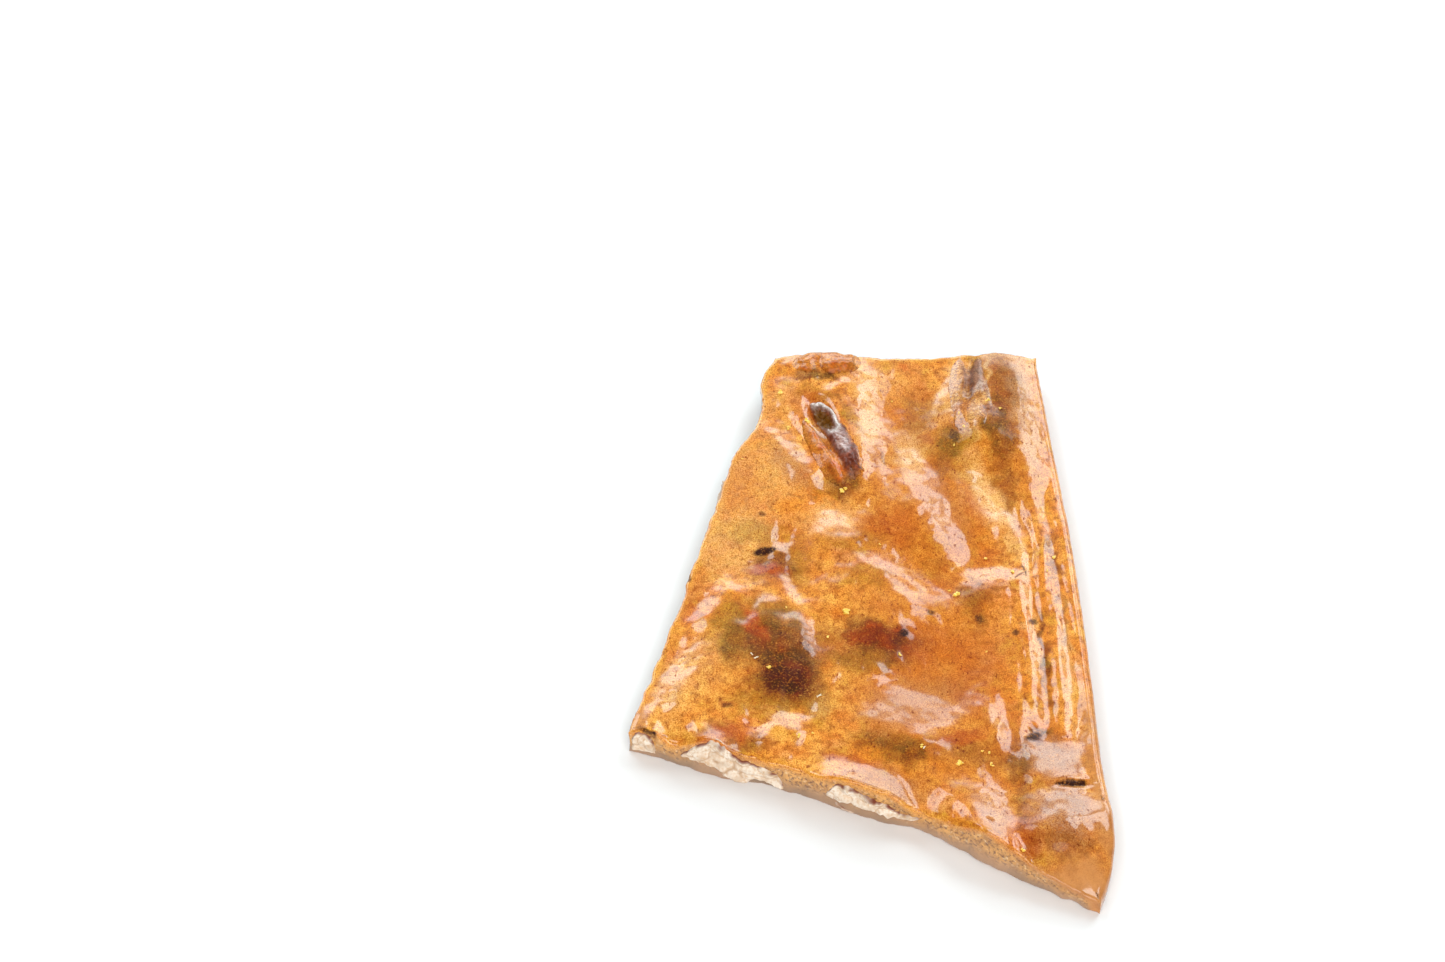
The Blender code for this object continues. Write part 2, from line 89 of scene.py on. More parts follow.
# Folds that the syrup set in: middle x and y, half-size down the slope, half-size across it,
# the way that the slope faces in degrees from +Y towards +X, and how steep it is.
FOLDS = [
    (2.6, 39, 2.3, 12.5, 88, 0.28), (-1.5, 51.5, 1.6, 5, -27, 0.20), (30.3, 42, 2.5, 17, 86, 0.27),
    (16.8, 50, 2.8, 8, -72, 0.24), (19, 41, 1.6, 3.5, -60, 0.18), (-10.6, 34.5, 1.9, 7.5, 60, 0.32),
    (-3.8, 18.6, 3.8, 4.2, 10, 0.19), (8.8, 35, 2.4, 5.5, 70, 0.15), (13.2, 20.5, 3, 8.5, 74, 0.27),
    (20.8, 24.5, 3, 7.5, 62, 0.25), (7.8, 6, 3.2, 7.5, 50, 0.23), (-3.4, 8.4, 1.8, 4.6, -45, 0.16),
    (21.8, 7.8, 1.6, 4.6, 5, 0.20), (-12, 4.2, 1.1, 3.2, 72, 0.28), (-13.6, 13.8, 1.5, 1.5, 10, 0.26),
    (-25.8, 1.4, 1.8, 4.6, -68, 0.27), (-31.4, -15, 2.6, 8.5, -66, 0.28),
    (-9.4, -5.6, 1.3, 3.4, 85, 0.28), (-18, -0.8, 0.9, 2.6, -75, 0.34), (7.5, -21.5, 5, 6.5, 25, 0.19),
    (-12.6, -23.6, 2.2, 2.6, 20, 0.24), (-17.4, -26.2, 1.6, 2, 5, 0.22), (21.3, -23.5, 1.4, 5, 80, 0.26),
    (2, -37, 3, 7, 20, 0.22), (20.5, -42, 2.8, 6, 65, 0.26), (30, -31, 4.6, 3.8, 10, 0.24),
    (30.4, -41.6, 4.4, 5.4, 5, 0.24), (30, -51.5, 0.8, 2, -10, 0.22), (-11, 51.2, 2, 4, -20, 0.16),
]
# How round a fold's creases are, how soon it eases out, and how far its line wanders.
FOLD_CREASE = 0.6
FOLD_EASE = 2.8
FOLD_WANDER = 0.7
# Ridges of the flow along the smooth side, and the low waves all over the top.
RIDGE_SPACING = 4.6
RIDGE_FIRST = 0.95
RIDGE_BAND = 12.5
RIDGE_HEIGHT = 0.2
RIDGE_FRONT_END = -30.0
RIDGE_REAR_END = 30.0
WAVE_ACROSS = 6.5
WAVE_ALONG = 13.0
WAVE_HEIGHT = 0.12

# Roundness of the smooth rim, the broken rims and the foot, and the crags of the walls.
SMOOTH_ROUND = 1.3
BROKEN_ROUND = 0.45
FOOT_ROUND = 0.35
CRAG_SIZE = 3.2
CRAG_DEPTH = 0.45

# Places across and along the top, turns round the rim in degrees, and steps down the wall.
COLUMNS = 210
ROWS = 300
RIM_TURNS = (0.0, 25.0, 50.0, 72.0)
WALL_STEPS = 13


def smooth_step(value):
    value = np.clip(value, 0.0, 1.0)
    return value * value * (3.0 - 2.0 * value)


def noise_at(x, y, z=0.0):
    """Smooth noise at each place, about -1 to 1. Divide the places by the grain's size first."""
    x, y, z = np.broadcast_arrays(x, y, z)
    places = np.stack([x.ravel(), y.ravel(), z.ravel()], -1)
    return np.reshape([noise.noise(place) for place in places.tolist()], x.shape)


def spline(points, per_span=60):
    """Closely spaced points on a smooth curve through the given ones."""
    points = np.array(points, dtype=float)
    ends = np.vstack([points[:1], points, points[-1:]])
    t = np.arange(per_span)[:, None] / per_span
    dense = []
    for a, b, c, d in zip(ends, ends[1:], ends[2:], ends[3:]):
        dense.append(
            a * (-0.5 * t + t ** 2 - 0.5 * t ** 3)
            + b * (1.0 - 2.5 * t ** 2 + 1.5 * t ** 3)
            + c * (0.5 * t + 2.0 * t ** 2 - 1.5 * t ** 3)
            + d * (-0.5 * t ** 2 + 0.5 * t ** 3)
        )
    return np.vstack(dense + [points[-1:]])


def along_line(line, x):
    """The value at x of a line given as points, eased between them."""
    places, values = (np.array(column) for column in zip(*line))
    index = np.clip(np.searchsorted(places, x) - 1, 0, len(places) - 2)
    step = smooth_step((x - places[index]) / (places[index + 1] - places[index]))
    return values[index] + (values[index + 1] - values[index]) * step


def oval(x, y, middle_x, middle_y, half_length, half_width, turn):
    """How far a place lies out from the middle of a turned oval: 1 on its edge."""
    angle = math.radians(turn)
    along = (x - middle_x) * math.cos(angle) + (y - middle_y) * math.sin(angle)
    across = (y - middle_y) * math.cos(angle) - (x - middle_x) * math.sin(angle)
    return np.hypot(along / half_length, across / half_width)


def fold_height(x, y, middle_x, middle_y, down, across, facing, steep):
    """A ramp in the skin that faces one way. Beyond its ends the skin eases back to level."""
    angle = math.radians(facing)
    ahead = (x - middle_x) * math.sin(angle) + (y - middle_y) * math.cos(angle)
    aside = (x - middle_x) * math.cos(angle) - (y - middle_y) * math.sin(angle)
    before = np.logaddexp((ahead + down) / FOLD_CREASE, -(ahead + down) / FOLD_CREASE)
    behind = np.logaddexp((ahead - down) / FOLD_CREASE, -(ahead - down) / FOLD_CREASE)
    ramp = 0.5 * FOLD_CREASE * (before - behind)
    ease = np.exp(-0.5 * (ahead / (FOLD_EASE * down)) ** 2)
    return -steep * ramp * ease * np.exp(-0.5 * (aside / across) ** 4)


def inset_from_right(x, y):
    """How far a place lies in from the smooth side."""
    edge_x, edge_y = np.array(SIDES["right"]).T
    return np.interp(y, edge_y, edge_x) - x


def flow_ridges(x, y):
    """The low ridges along the smooth side, where the syrup flowed and set."""
    inset = inset_from_right(x, y)
    band = smooth_step(inset / 1.5) * smooth_step((RIDGE_BAND - inset) / 3.0)
    reach = smooth_step((y - RIDGE_FRONT_END) / 10.0) * smooth_step((RIDGE_REAR_END - y) / 12.0)
    bent = inset + 0.7 * noise_at(x / 5.0, y / 9.0, 4.4)
    height = RIDGE_HEIGHT * (1.0 + 0.8 * noise_at(x / 3.0, y / 8.0, 7.1))
    return height * band * reach * np.cos(2.0 * math.pi * (bent - RIDGE_FIRST) / RIDGE_SPACING)


def top_height(x, y):
    """Height of the candy's top above the table."""
    height = MIDDLE_THICKNESS + (REAR_THICKNESS - MIDDLE_THICKNESS) * smooth_step(y / REAR_RIGHT[1])
    from_tip = np.hypot(x - TIP[0], y - TIP[1])
    height -= (MIDDLE_THICKNESS - TIP_THICKNESS) * smooth_step(1.0 - from_tip / TIP_REACH)
    for swell in SWELLS:
        height += swell[5] * np.exp(-oval(x, y, *swell[:5]) ** 2)
    front_x, front_y = np.array(SIDES["front"]).T
    near_front = smooth_step(1.0 - (y - np.interp(x, front_x, front_y)) / FRONT_RIM_REACH)
    height += (along_line(FRONT_RIM, x) - height) * near_front
    height += flow_ridges(x, y)
    height += WAVE_HEIGHT * noise_at(x / WAVE_ACROSS, y / WAVE_ALONG, 0.37)
    bent_x = x + FOLD_WANDER * noise_at(x / 4.5, y / 4.5, 6.6) + 0.25 * noise_at(x / 1.8, y / 1.8, 2.1)
    bent_y = y + FOLD_WANDER * noise_at(x / 4.5, y / 4.5, 1.9) + 0.25 * noise_at(x / 1.8, y / 1.8, 5.2)
    for fold in FOLDS:
        height += fold_height(bent_x, bent_y, *fold)
    return height


def skin_relief(x, y):
    """The fine ripples of the set skin: streaks along the flow near the right side."""
    inset = inset_from_right(x, y)
    streaky = smooth_step(1.0 - inset / 24.0) * smooth_step((y + 40.0) / 20.0)
    ripple = 0.06 * noise_at(x / 2.6, y / 4.2, 4.1)
    ripple += 0.035 * noise_at(x / 1.1, y / 1.6, 8.3)
    return ripple + 0.035 * streaky * noise_at(inset / 0.8, y / 6.0, 2.2)


def wall_place(x, y, out_x, out_y, level, height, side):
    """A place on the wall at one level: it leans in to the rim, and has crags, chips and grain."""
    lean = np.where(side == "front", along_line(FRONT_LEAN, x), 0.0)
    rough = np.where(side == "right", 0.15, 1.0)
    relief = CRAG_DEPTH * rough * noise_at(x / CRAG_SIZE, y / CRAG_SIZE, level / CRAG_SIZE)
    relief += 0.14 * rough * noise_at(x / 1.1 + 3.0, y / 1.1 + 1.0, level / 1.1 + 2.0)
    relief += 0.05 * rough * noise_at(x / 0.4, y / 0.4, level / 0.4)
    out = relief - lean * level / height
    return np.stack([x + out_x * out, y + out_y * out, np.broadcast_to(level, x.shape)], axis=-1)


def outline(columns, rows):
    """The outline as one loop of points, anticlockwise from the front left corner, with sides."""
    found = {}
    for side, points in SIDES.items():
        dense = spline(points)
        lengths = np.concatenate([[0.0], np.cumsum(np.hypot(*np.diff(dense, axis=0).T))])
        wanted = lengths[-1] * (columns if side in ("front", "rear") else rows)
        found[side] = np.stack([np.interp(wanted, lengths, values) for values in dense.T], -1)
    pieces = [found["front"][:-1], found["right"][:-1], found["rear"][:0:-1], found["left"][:0:-1]]
    names = [[name] * len(piece) for name, piece in zip(("front", "right", "rear", "left"), pieces)]
    return np.vstack(pieces), np.concatenate(names)


def patch_between(rim, columns, rows):
    """Places that fill the inside of the rim, blended from its four sides."""
    wide, deep = len(columns) - 1, len(rows) - 1
    front = rim[:wide + 1][None]
    right = rim[wide:wide + deep + 1][:, None]
    rear = rim[wide + deep:2 * wide + deep + 1][::-1][None]
    left = np.vstack([rim[2 * wide + deep:], rim[:1]])[::-1][:, None]
    u, v = columns[None, :, None], rows[:, None, None]
    front_corners = front[:, :1] * (1 - u) + front[:, -1:] * u
    rear_corners = rear[:, :1] * (1 - u) + rear[:, -1:] * u
    corners = front_corners * (1 - v) + rear_corners * v
    return front * (1 - v) + rear * v + left * (1 - u) + right * u - corners


def quads(first, second, third, fourth):
    """Faces from four arrays of corners."""
    return np.stack([first, second, third, fourth], -1).reshape(-1, 4).tolist()


def mesh_in_mm(name, points, faces):
    """A mesh from points in millimetres."""
    data = bpy.data.meshes.new(name)
    data.from_pydata((points * MM).tolist(), [], faces)
    data.update()
    return data


def sheet_mesh():
    """The closed skin: rings down from the rim to the foot, the top inside the rim, and the underside."""
    columns = np.arange(COLUMNS + 1) / COLUMNS
    rows = np.arange(ROWS + 1) / ROWS
    loop, side = outline(columns, rows)
    x, y = loop.T
    ahead = np.roll(loop, -1, axis=0) - np.roll(loop, 1, axis=0)
    out_x, out_y = (ahead[:, ::-1] * (1.0, -1.0) / np.hypot(*ahead.T)[:, None]).T
    walked = np.concatenate([[0.0], np.cumsum(np.hypot(*np.diff(loop, axis=0, append=loop[:1]).T))])
    corner_at = walked[[0, COLUMNS, COLUMNS + ROWS, 2 * COLUMNS + ROWS, -1]]
    from_corner = np.abs(walked[:-1, None] - corner_at[None]).min(axis=1)
    radius = np.minimum(np.where(side == "right", SMOOTH_ROUND, BROKEN_ROUND), 0.06 + 0.7 * from_corner)
    foot_radius = np.minimum(FOOT_ROUND, radius)
    height = top_height(x - out_x * radius, y - out_y * radius)
    below = height - radius
    profile = []
    for turn in RIM_TURNS:
        angle = math.radians(turn)
        profile.append((radius * (1.0 - math.sin(angle)), below + radius * math.cos(angle)))
    for step in range(WALL_STEPS + 1):
        profile.append((0.0, FOOT_ROUND + (below - FOOT_ROUND) * (1.0 - step / WALL_STEPS)))
    profile.append((0.3 * foot_radius, 0.3 * FOOT_ROUND))
    profile.append((foot_radius, 0.0))
    rings = []
    for inset, level in profile:
        ring = wall_place(x, y, out_x, out_y, level, height, side)
        ring[:, 0] -= out_x * inset
        ring[:, 1] -= out_y * inset
        rings.append(ring)
    count = len(loop)
    inside = patch_between(rings[0][:, :2], columns, rows)[1:-1, 1:-1]
    steps_in = np.minimum.outer(
        np.minimum(np.arange(1, ROWS), np.arange(ROWS - 1, 0, -1)),
        np.minimum(np.arange(1, COLUMNS), np.arange(COLUMNS - 1, 0, -1)),
    )
    inside_x, inside_y = inside[..., 0], inside[..., 1]
    relief = skin_relief(inside_x, inside_y) * smooth_step(steps_in / 4.0)
    inside = np.dstack([inside, top_height(inside_x, inside_y) + relief])
    grid = np.empty((ROWS + 1, COLUMNS + 1), dtype=int)
    grid[0] = np.arange(COLUMNS + 1)
    grid[:, -1] = COLUMNS + np.arange(ROWS + 1)
    grid[-1] = 2 * COLUMNS + ROWS - np.arange(COLUMNS + 1)
    grid[:, 0] = (2 * COLUMNS + 2 * ROWS - np.arange(ROWS + 1)) % count
    grid[1:-1, 1:-1] = count * len(rings) + np.arange(inside_x.size).reshape(inside_x.shape)
    faces = quads(grid[:-1, :-1], grid[:-1, 1:], grid[1:, 1:], grid[1:, :-1])
    here = np.arange(count)
    after = (here + 1) % count
    for ring in range(len(rings) - 1):
        upper, lower = ring * count, (ring + 1) * count
        faces += quads(upper + here, lower + here, lower + after, upper + after)
    underside = geometry.tessellate_polygon([[Vector(place) for place in rings[-1].tolist()]])
    faces += [[count * (len(rings) - 1) + corner for corner in corners[::-1]] for corners in underside]
    return mesh_in_mm("candy_sheet", np.vstack(rings + [inside.reshape(-1, 3)]), faces)


def linear(colour):
    """An sRGB hex colour as linear red, green, blue and alpha."""
    channels = [int(colour[i:i + 2], 16) / 255.0 for i in (0, 2, 4)]
    return [c / 12.92 if c <= 0.04045 else ((c + 0.055) / 1.055) ** 2.4 for c in channels] + [1.0]


def add_node(tree, kind, settings=None, **inputs):
    """Adds a node. Settings are its own properties. Inputs are values or outputs, each by the name or
    the identifier of its socket.
    """
    node = tree.nodes.new(kind)
    for name, value in (settings or {}).items():
        setattr(node, name, value)
    for name, value in inputs.items():
        spelled = name.replace("_", " ")
        in_use = [each for each in node.inputs if each.enabled]
        socket = next(each for each in in_use if spelled == each.name or name == each.identifier)
        if isinstance(value, bpy.types.NodeSocket):
            tree.links.new(socket, value)
        else:
            socket.default_value = value
    return node


# Colour that shows through from the nuts and the scorched sugar, and painted shade and painted
# highlight: middle x and y, half-length, half-width, turn in degrees and strength. The dull ones
# take the gloss away and have no colour.
STAINS = {
    # Nut colour through the candy, and painted shade in front of the swells, under the rear-left kernel, at
    # the ridge ends and in the grooves by the smooth side.
    "brown_and_shade": [
        (-13.5, -10, 9, 5, 108, 0.85), (-13, -15.5, 5.5, 4, 0, 0.95), (-20.5, -7, 2.6, 5, 0, 0.5),
        (2.5, -6.5, 6.5, 3, -8, 0.95), (1, -10, 6, 3, 0, 0.35), (-15, 9.5, 3.4, 3.5, 0, 0.75),
        (25.2, 49, 10, 2.8, 92, 0.62), (24.4, 39, 7, 2.2, 94, 0.5), (20.4, 53, 4.5, 1.3, 80, 0.35),
        (25, 28, 8, 1.6, 94, 0.45), (18.5, 3, 2.6, 3.4, 0, 0.5), (19, -2, 1.6, 2.4, 0, 0.45),
        (10.5, 44, 5, 3, 80, 0.35), (3, -28.5, 5, 2, -20, 0.55), (6.5, -31, 2.6, 1.6, -30, 0.6),
        (17, -30, 8, 3, -10, 0.35), (24.3, -34, 8, 1.6, 95, 0.5), (27.5, -26, 3.2, 1.2, 35, 0.85),
        (-19, -28.6, 3.6, 1.6, 10, 0.55), (-24.5, -25.5, 3, 1.6, 20, 0.4), (30.5, -49, 5, 1.8, 5, 0.4),
        (29.6, -10, 11, 0.7, 91, 0.75), (31.8, 12, 6, 0.6, 92, 0.6), (33, -2, 8, 0.5, 92, 0.5),
        (14.8, 34.5, 6.5, 1.6, 80, 0.45), (-6, 52.6, 4.5, 1.2, 5, 0.8), (24.8, -46, 5, 1, 95, 0.5),
        (-7.5, -8, 2, 5, 0, 0.35), (-3.2, 28, 4, 2, 105, 0.65), (-4.6, 36, 9, 2.2, 110, 0.4),
        (12, 9, 3, 2, 0, 0.2),
    ],
    # Olive nut colour through the candy, partly painted shade in front of the swells over the nuts.
    "olive": [
        (-22, -5, 3, 6, 0, 0.8), (-15, -3, 3.4, 5, 20, 0.7), (16.3, 37, 3, 3.6, 110, 0.8),
        (12.5, 40, 3, 6, 0, 0.2), (-15, -19.5, 7, 2.2, 0, 0.6), (-7.5, -21, 2.6, 4, 0, 0.45),
        (4.5, -29.5, 5, 2.6, -20, 0.5), (-18, 16.5, 5, 2.5, 0, 0.5), (-1, 14.5, 7, 2, 0, 0.35),
        (-11, 10, 2.2, 5, 0, 0.5), (0, -11, 7, 2.6, 0, 0.5), (23.5, 40, 2.2, 3.5, 0, 0.6),
        (-5, 26.5, 3, 1.6, 0, 0.5), (0.5, 6.5, 4.5, 2.2, 0, 0.4), (18, 30, 2, 4, 30, 0.3),
        (8.5, 35, 3, 5, 0, 0.1), (-6.5, 47.5, 4, 1.2, -20, 0.4), (-1.3, 42, 1, 4, 20, 0.5),
        (20.2, 52.5, 5.5, 1.7, 80, 0.6),
    ],
    "red": [
        (-18.6, -3.5, 4.6, 1.1, 112, 0.8), (1.5, -6.2, 4.5, 1.8, 0, 0.75), (-15.5, 8.6, 2.4, 1.6, 0, 0.7),
        (6.5, 17.5, 3.5, 4, 0, 0.45), (15.5, -27, 4, 1.4, 15, 0.6), (23.5, -47, 2.6, 4, 0, 0.4),
        (-22, -26.6, 4.5, 1.8, 15, 0.6), (10.5, -7, 6, 4, 0, 0.35), (13.5, 6.5, 2.5, 3, 0, 0.35),
        (18, -14, 4, 8, 0, 0.35), (-9, 46, 2.6, 2.2, 0, 0.35), (-21.5, 27, 4, 6, 0, 0.25),
        (-28.5, 2, 1.6, 5, 0, 0.35), (11.3, 38.3, 1.4, 1.2, 0, 0.45), (-3, -31.5, 5, 1.2, -15, 0.5),
        (2.5, 18, 3, 3, 0, 0.35), (17, 15, 1.6, 4, 0, 0.3), (21, 12, 3, 2, 0, 0.3),
        (19, 22, 1.4, 6, 10, 0.35), (8, -12, 3, 3, 0, 0.25), (-22.5, -20.8, 1.2, 0.9, 0, 0.7),
    ],
    # Paler candy, and painted highlight along the gloss bands of the folds and the smooth side.
    "pale": [
        (-20, 25, 14, 6, 72, 0.4), (-21.5, 12, 6, 6, 0, 0.35), (4, 51, 5, 5, 0, 0.3),
        (1.6, 43, 9, 1.8, 88, 0.7), (9, 36, 5, 3, 80, 0.6), (-27, -12, 9, 4, 65, 0.3),
        (16.8, 50, 7.5, 2.6, 76, 0.5), (22.3, 51, 6.5, 0.6, 82, 1), (-14, 46, 4, 3, 0, 0.3),
        (-13, 30, 3, 6, 20, 0.3), (21.3, 26, 8, 2.6, 108, 0.85), (19.8, 41, 5, 1.3, 80, 0.8),
        (-4.5, 20, 4.2, 3.6, 0, 0.5), (26, 15, 7, 1, 100, 0.5), (27.6, 0, 14, 0.9, 92, 0.5),
        (30.8, 57, 1, 3, 0, 0.6), (28.6, 45, 13, 1.8, 94, 0.6), (-32, -19, 3, 6, 0, 0.3),
        (33.2, -14, 14, 1.2, 92, 0.55), (-19, 18, 4, 2, 0, 0.25), (9.5, 33, 2, 5, 0, 0.35),
        (-7.5, -21, 2, 2.2, 0, 0.6),
    ],
    "toasted": [
        (9, 24, 22, 11, 95, 0.55), (9, -9, 15, 13, 0, 0.6), (6, 45, 9, 6, 90, 0.35),
        (-12, 12, 6, 8, 0, 0.4), (10, -30, 12, 5, -15, 0.45), (20, -30, 6, 10, 0, 0.4),
        (-20, -15, 8, 6, 0, 0.25), (24, 35, 20, 5, 92, 0.35), (-19, 30, 4, 8, 0, 0.2),
        (30.5, -31, 4, 6, 0, 0.85), (31, -43, 5, 5, 0, 0.85), (27.5, 44, 16, 4, 92, 0.5),
        (8, -20, 9, 6, 0, 0.6), (3.5, -36.5, 6, 3, -15, 0.5), (19.5, -43, 3, 6, 20, 0.4),
    ],
    # Painted highlight: a paler, greyer tint of the candy under the gloss patches of the folds.
    "painted_highlight_tint": [
        (29.6, -31, 5, 4.2, 0, 0.9), (31, -42.5, 5.5, 5.5, 0, 0.9), (8, -20, 9, 5, 20, 0.45),
        (28.6, 45, 13, 1.8, 94, 0.4), (3.5, -36.5, 6, 3, -15, 0.45), (20, -42, 6, 3, 95, 0.4),
        (-11.6, 31, 6, 2.6, 120, 0.5), (14, 21, 3, 8, 15, 0.3),
    ],
    "thin": [
        (34.5, -55, 6, 4, -30, 0.75), (37.8, -46, 8, 1.6, 95, 0.5), (28, -54, 6, 1.2, -30, 0.5),
        (36.5, -30, 12, 1.2, 93, 0.4), (-37, -23, 2, 2.5, 0, 0.3),
    ],
    "dull": [
        (25.2, 46, 11, 2.4, 92, 0.95), (-15.5, -9, 8, 2.6, 108, 0.8), (2.5, -6.5, 5, 2.2, -8, 0.9),
        (3, -28.5, 5.5, 2.6, -20, 0.8), (16.3, 36.5, 3, 3.6, 110, 0.8), (24.5, -40, 7, 2, 95, 0.7),
        (31, -50.5, 2.5, 3.5, 0, 0.7), (6, 50, 3, 5, 0, 0.6), (20.3, 52.5, 6, 2.4, 80, 1),
        (-15.5, 9, 2.8, 2, 0, 0.8), (14, -3, 6, 8, 0, 0.3), (8, -20, 8, 5, 25, 0.3),
        (3.5, -36.5, 7, 3.5, -15, 0.2), (36.4, -15, 14, 1.3, 93, 0.5),
    ],
    # Dark specks, slits and cracks, and painted shade in front of the swells over the nuts.
    "dark_spots_and_shade": [
        (-16.3, 12.7, 2, 0.7, 18, 1), (6.6, -5.6, 0.9, 0.8, 0, 1), (26.8, -26.2, 1.6, 0.7, 30, 0.9),
        (32.3, -36.2, 2.5, 0.55, 5, 1), (34.2, -35.8, 0.7, 0.6, 0, 1), (4.3, 33.5, 1.8, 0.25, 100, 0.45),
        (-35.6, -25.6, 2.2, 0.3, -35, 0.9), (-34.4, -26.3, 0.5, 0.4, 0, 1),
        (-13.5, -15.5, 3.6, 2.6, 0, 0.55), (-17.5, -8.5, 1.6, 4, 15, 0.3), (-10.5, -9, 1.3, 4, 0, 0.3),
        (2.5, -6.3, 4.5, 1.6, -8, 0.4), (-1, -3, 2, 1.4, 0, 0.25), (27.8, -2.5, 0.8, 0.7, 0, 0.8),
        (25, -5, 0.6, 0.6, 0, 0.8), (19, -2, 0.7, 1, 0, 0.7), (16.4, 38.5, 1.6, 0.8, 100, 0.7),
        (26.9, 8.6, 1.3, 0.25, 110, 0.9), (26.1, 7.4, 0.9, 0.2, 60, 0.9), (11, -0.8, 0.6, 0.5, 0, 0.8),
        (-22.5, -20.8, 0.9, 0.6, 0, 0.7), (-29, 7, 0.4, 1, 0, 0.8), (-16.5, 21, 0.6, 0.5, 0, 0.7),
    ],
}
STAIN_WANDER = 1.7
STAIN_GRAIN = 2.4


def spots(x, y, ovals, edge=0.85):
    """How strongly any of the ovals covers each place, from 0 to 1."""
    clear = np.ones_like(x)
    for spot in ovals:
        clear *= 1.0 - spot[5] * smooth_step(0.5 + edge * (1.0 - oval(x, y, *spot[:5])))
    return 1.0 - clear


def add_layer(data, name, values):
    """Stores one number for each point of a mesh."""
    data.attributes.new(name, "FLOAT", "POINT").data.foreach_set("value", np.ravel(values))


def places_in_mm(data):
    """The x, y and z of a mesh's points."""
    places = np.empty(len(data.vertices) * 3)
    data.vertices.foreach_get("co", places)
    return places.reshape(-1, 3).T / MM


def add_stains(data):
    """Stores each stain, the painted glow of the broken edges, and how far down the wall each point lies."""
    x, y, z = places_in_mm(data)
    wander_x = STAIN_WANDER * noise_at(x / STAIN_GRAIN, y / STAIN_GRAIN, 3.7)
    wander_x += 0.5 * noise_at(x / 0.9, y / 0.9, 1.3)
    wander_y = STAIN_WANDER * noise_at(x / STAIN_GRAIN, y / STAIN_GRAIN, 9.2)
    wander_y += 0.5 * noise_at(x / 0.9, y / 0.9, 7.7)
    above = smooth_step(z / 0.1)
    for kind, ovals in STAINS.items():
        part = 0.25 if kind == "dark_spots_and_shade" else 1.0
        covered = spots(x + part * wander_x, y + part * wander_y, ovals, 2.5 if kind == "dark_spots_and_shade" else 0.9)
        add_layer(data, kind, above * covered)
    # A paler golden band along the broken edges: painted light shining through the thin candy.
    edge_x, edge_y = np.array(SIDES["left"]).T
    from_left = x - np.interp(y, edge_y, edge_x)
    edge_x, edge_y = np.array(SIDES["front"]).T
    from_front = y - np.interp(x, edge_x, edge_y)
    from_edge = np.minimum(np.minimum(from_left, from_front), REAR_RIGHT[1] - y)
    broken_off = smooth_step(0.9 + noise_at(x / 2.4, y / 2.4, 6.0))
    add_layer(data, "edge", above * broken_off * smooth_step(1.0 - from_edge / 1.8))
    height = top_height(x, y)
    past_smooth_side = smooth_step((inset_from_right(x, y) - 1.0) / 1.5)
    add_layer(data, "wall", above * past_smooth_side * smooth_step((height - z - 0.2) / 1.5))
    add_layer(data, "foot", smooth_step(1.1 - 1.6 * z / height))


def put_in(name, data):
    """A new object of the scene."""
    thing = bpy.data.objects.new(name, data)
    bpy.context.scene.collection.objects.link(thing)
    return thing


candy_data = sheet_mesh()
add_stains(candy_data)
candy = put_in("candy_sheet", candy_data)
candy_data.shade_smooth()
# The underside set on the slab, so it is shaded flat.
for face in candy_data.polygons:
    face.use_smooth = face.normal.z > -0.99

# Boiled sugar and butter, poured and set in air: golden, cloudy with fine bubbles, with a
# glossy skin that the grain of the bubbles breaks up.
PER_MM = 1.0 / MM
BUBBLE_SPACING = 0.28
PIT_SIZE = 0.4
STAIN_PATCH = 0.36
STAIN_STREAK = 2.4
# The settings of a node that mixes colours, and of one that multiplies them.
MIX = {"data_type": "RGBA"}
MULTIPLY = {"data_type": "RGBA", "blend_type": "MULTIPLY"}

# Shades of the candy from its base outwards: size of the patches in millimetres, their detail, the
# noise at which they start and are full, and the colour.
CANDY_BASE = "FCBC56"
# The pinkish E8A25E patches are painted sheen: a soft veil of reflected light.
CANDY_PATCHES = [
    (9.0, 2.0, 0.35, 0.65, "EE9A32"), (5.3, 3.0, 0.5, 0.78, "D46A18"), (7.1, 3.0, 0.5, 0.72, "E8A25E"),
    (3.7, 3.0, 0.5, 0.74, "D8A030"), (2.2, 4.0, 0.4, 0.75, "DE8226"), (1.1, 3.0, 0.48, 0.75, "B06A20"),
]
# Two shades of each stain, laid on in this order. The edge shade is painted light shining
# through the thin broken edges.
CANDY_SHADES = {
    "edge": ("F6B850", "F6B850"), "toasted": ("CC7A1C", "C47218"), "pale": ("F8C878", "F4C080"),
    "painted_highlight_tint": ("BE885A", "AC7A56"), "thin": ("C8884E", "B87A44"), "olive": ("A87C12", "94701C"),
    "brown_and_shade": ("6E2404", "482A04"), "red": ("C4540E", "A83C0A"), "dark_spots_and_shade": ("341408", "341408"),
}


def mottled(tree, place, colour, patches, blend=MIX):
    """Lays patches of other shades over a colour, where the noise runs from the low to the high value."""
    for size, detail, low, high, shade in patches:
        grain = add_node(tree, "ShaderNodeTexNoise", Vector=place, Scale=PER_MM / size, Detail=detail)
        spread = add_node(tree, "ShaderNodeMapRange", Value=grain.outputs["Fac"], From_Min=low, From_Max=high)
        cover = spread.outputs["Result"]
        colour = add_node(tree, "ShaderNodeMix", blend, Factor=cover, A=colour, B=linear(shade)).outputs[2]
    return colour


def stained(tree, colour, stains):
    """Lays a shade over a colour for each pair of a layer stored on the mesh and its shade."""
    for layer, shade in stains:
        cover = add_node(tree, "ShaderNodeAttribute", {"attribute_name": layer}).outputs["Fac"]
        colour = add_node(tree, "ShaderNodeMix", MIX, Factor=cover, A=colour, B=shade).outputs[2]
    return colour


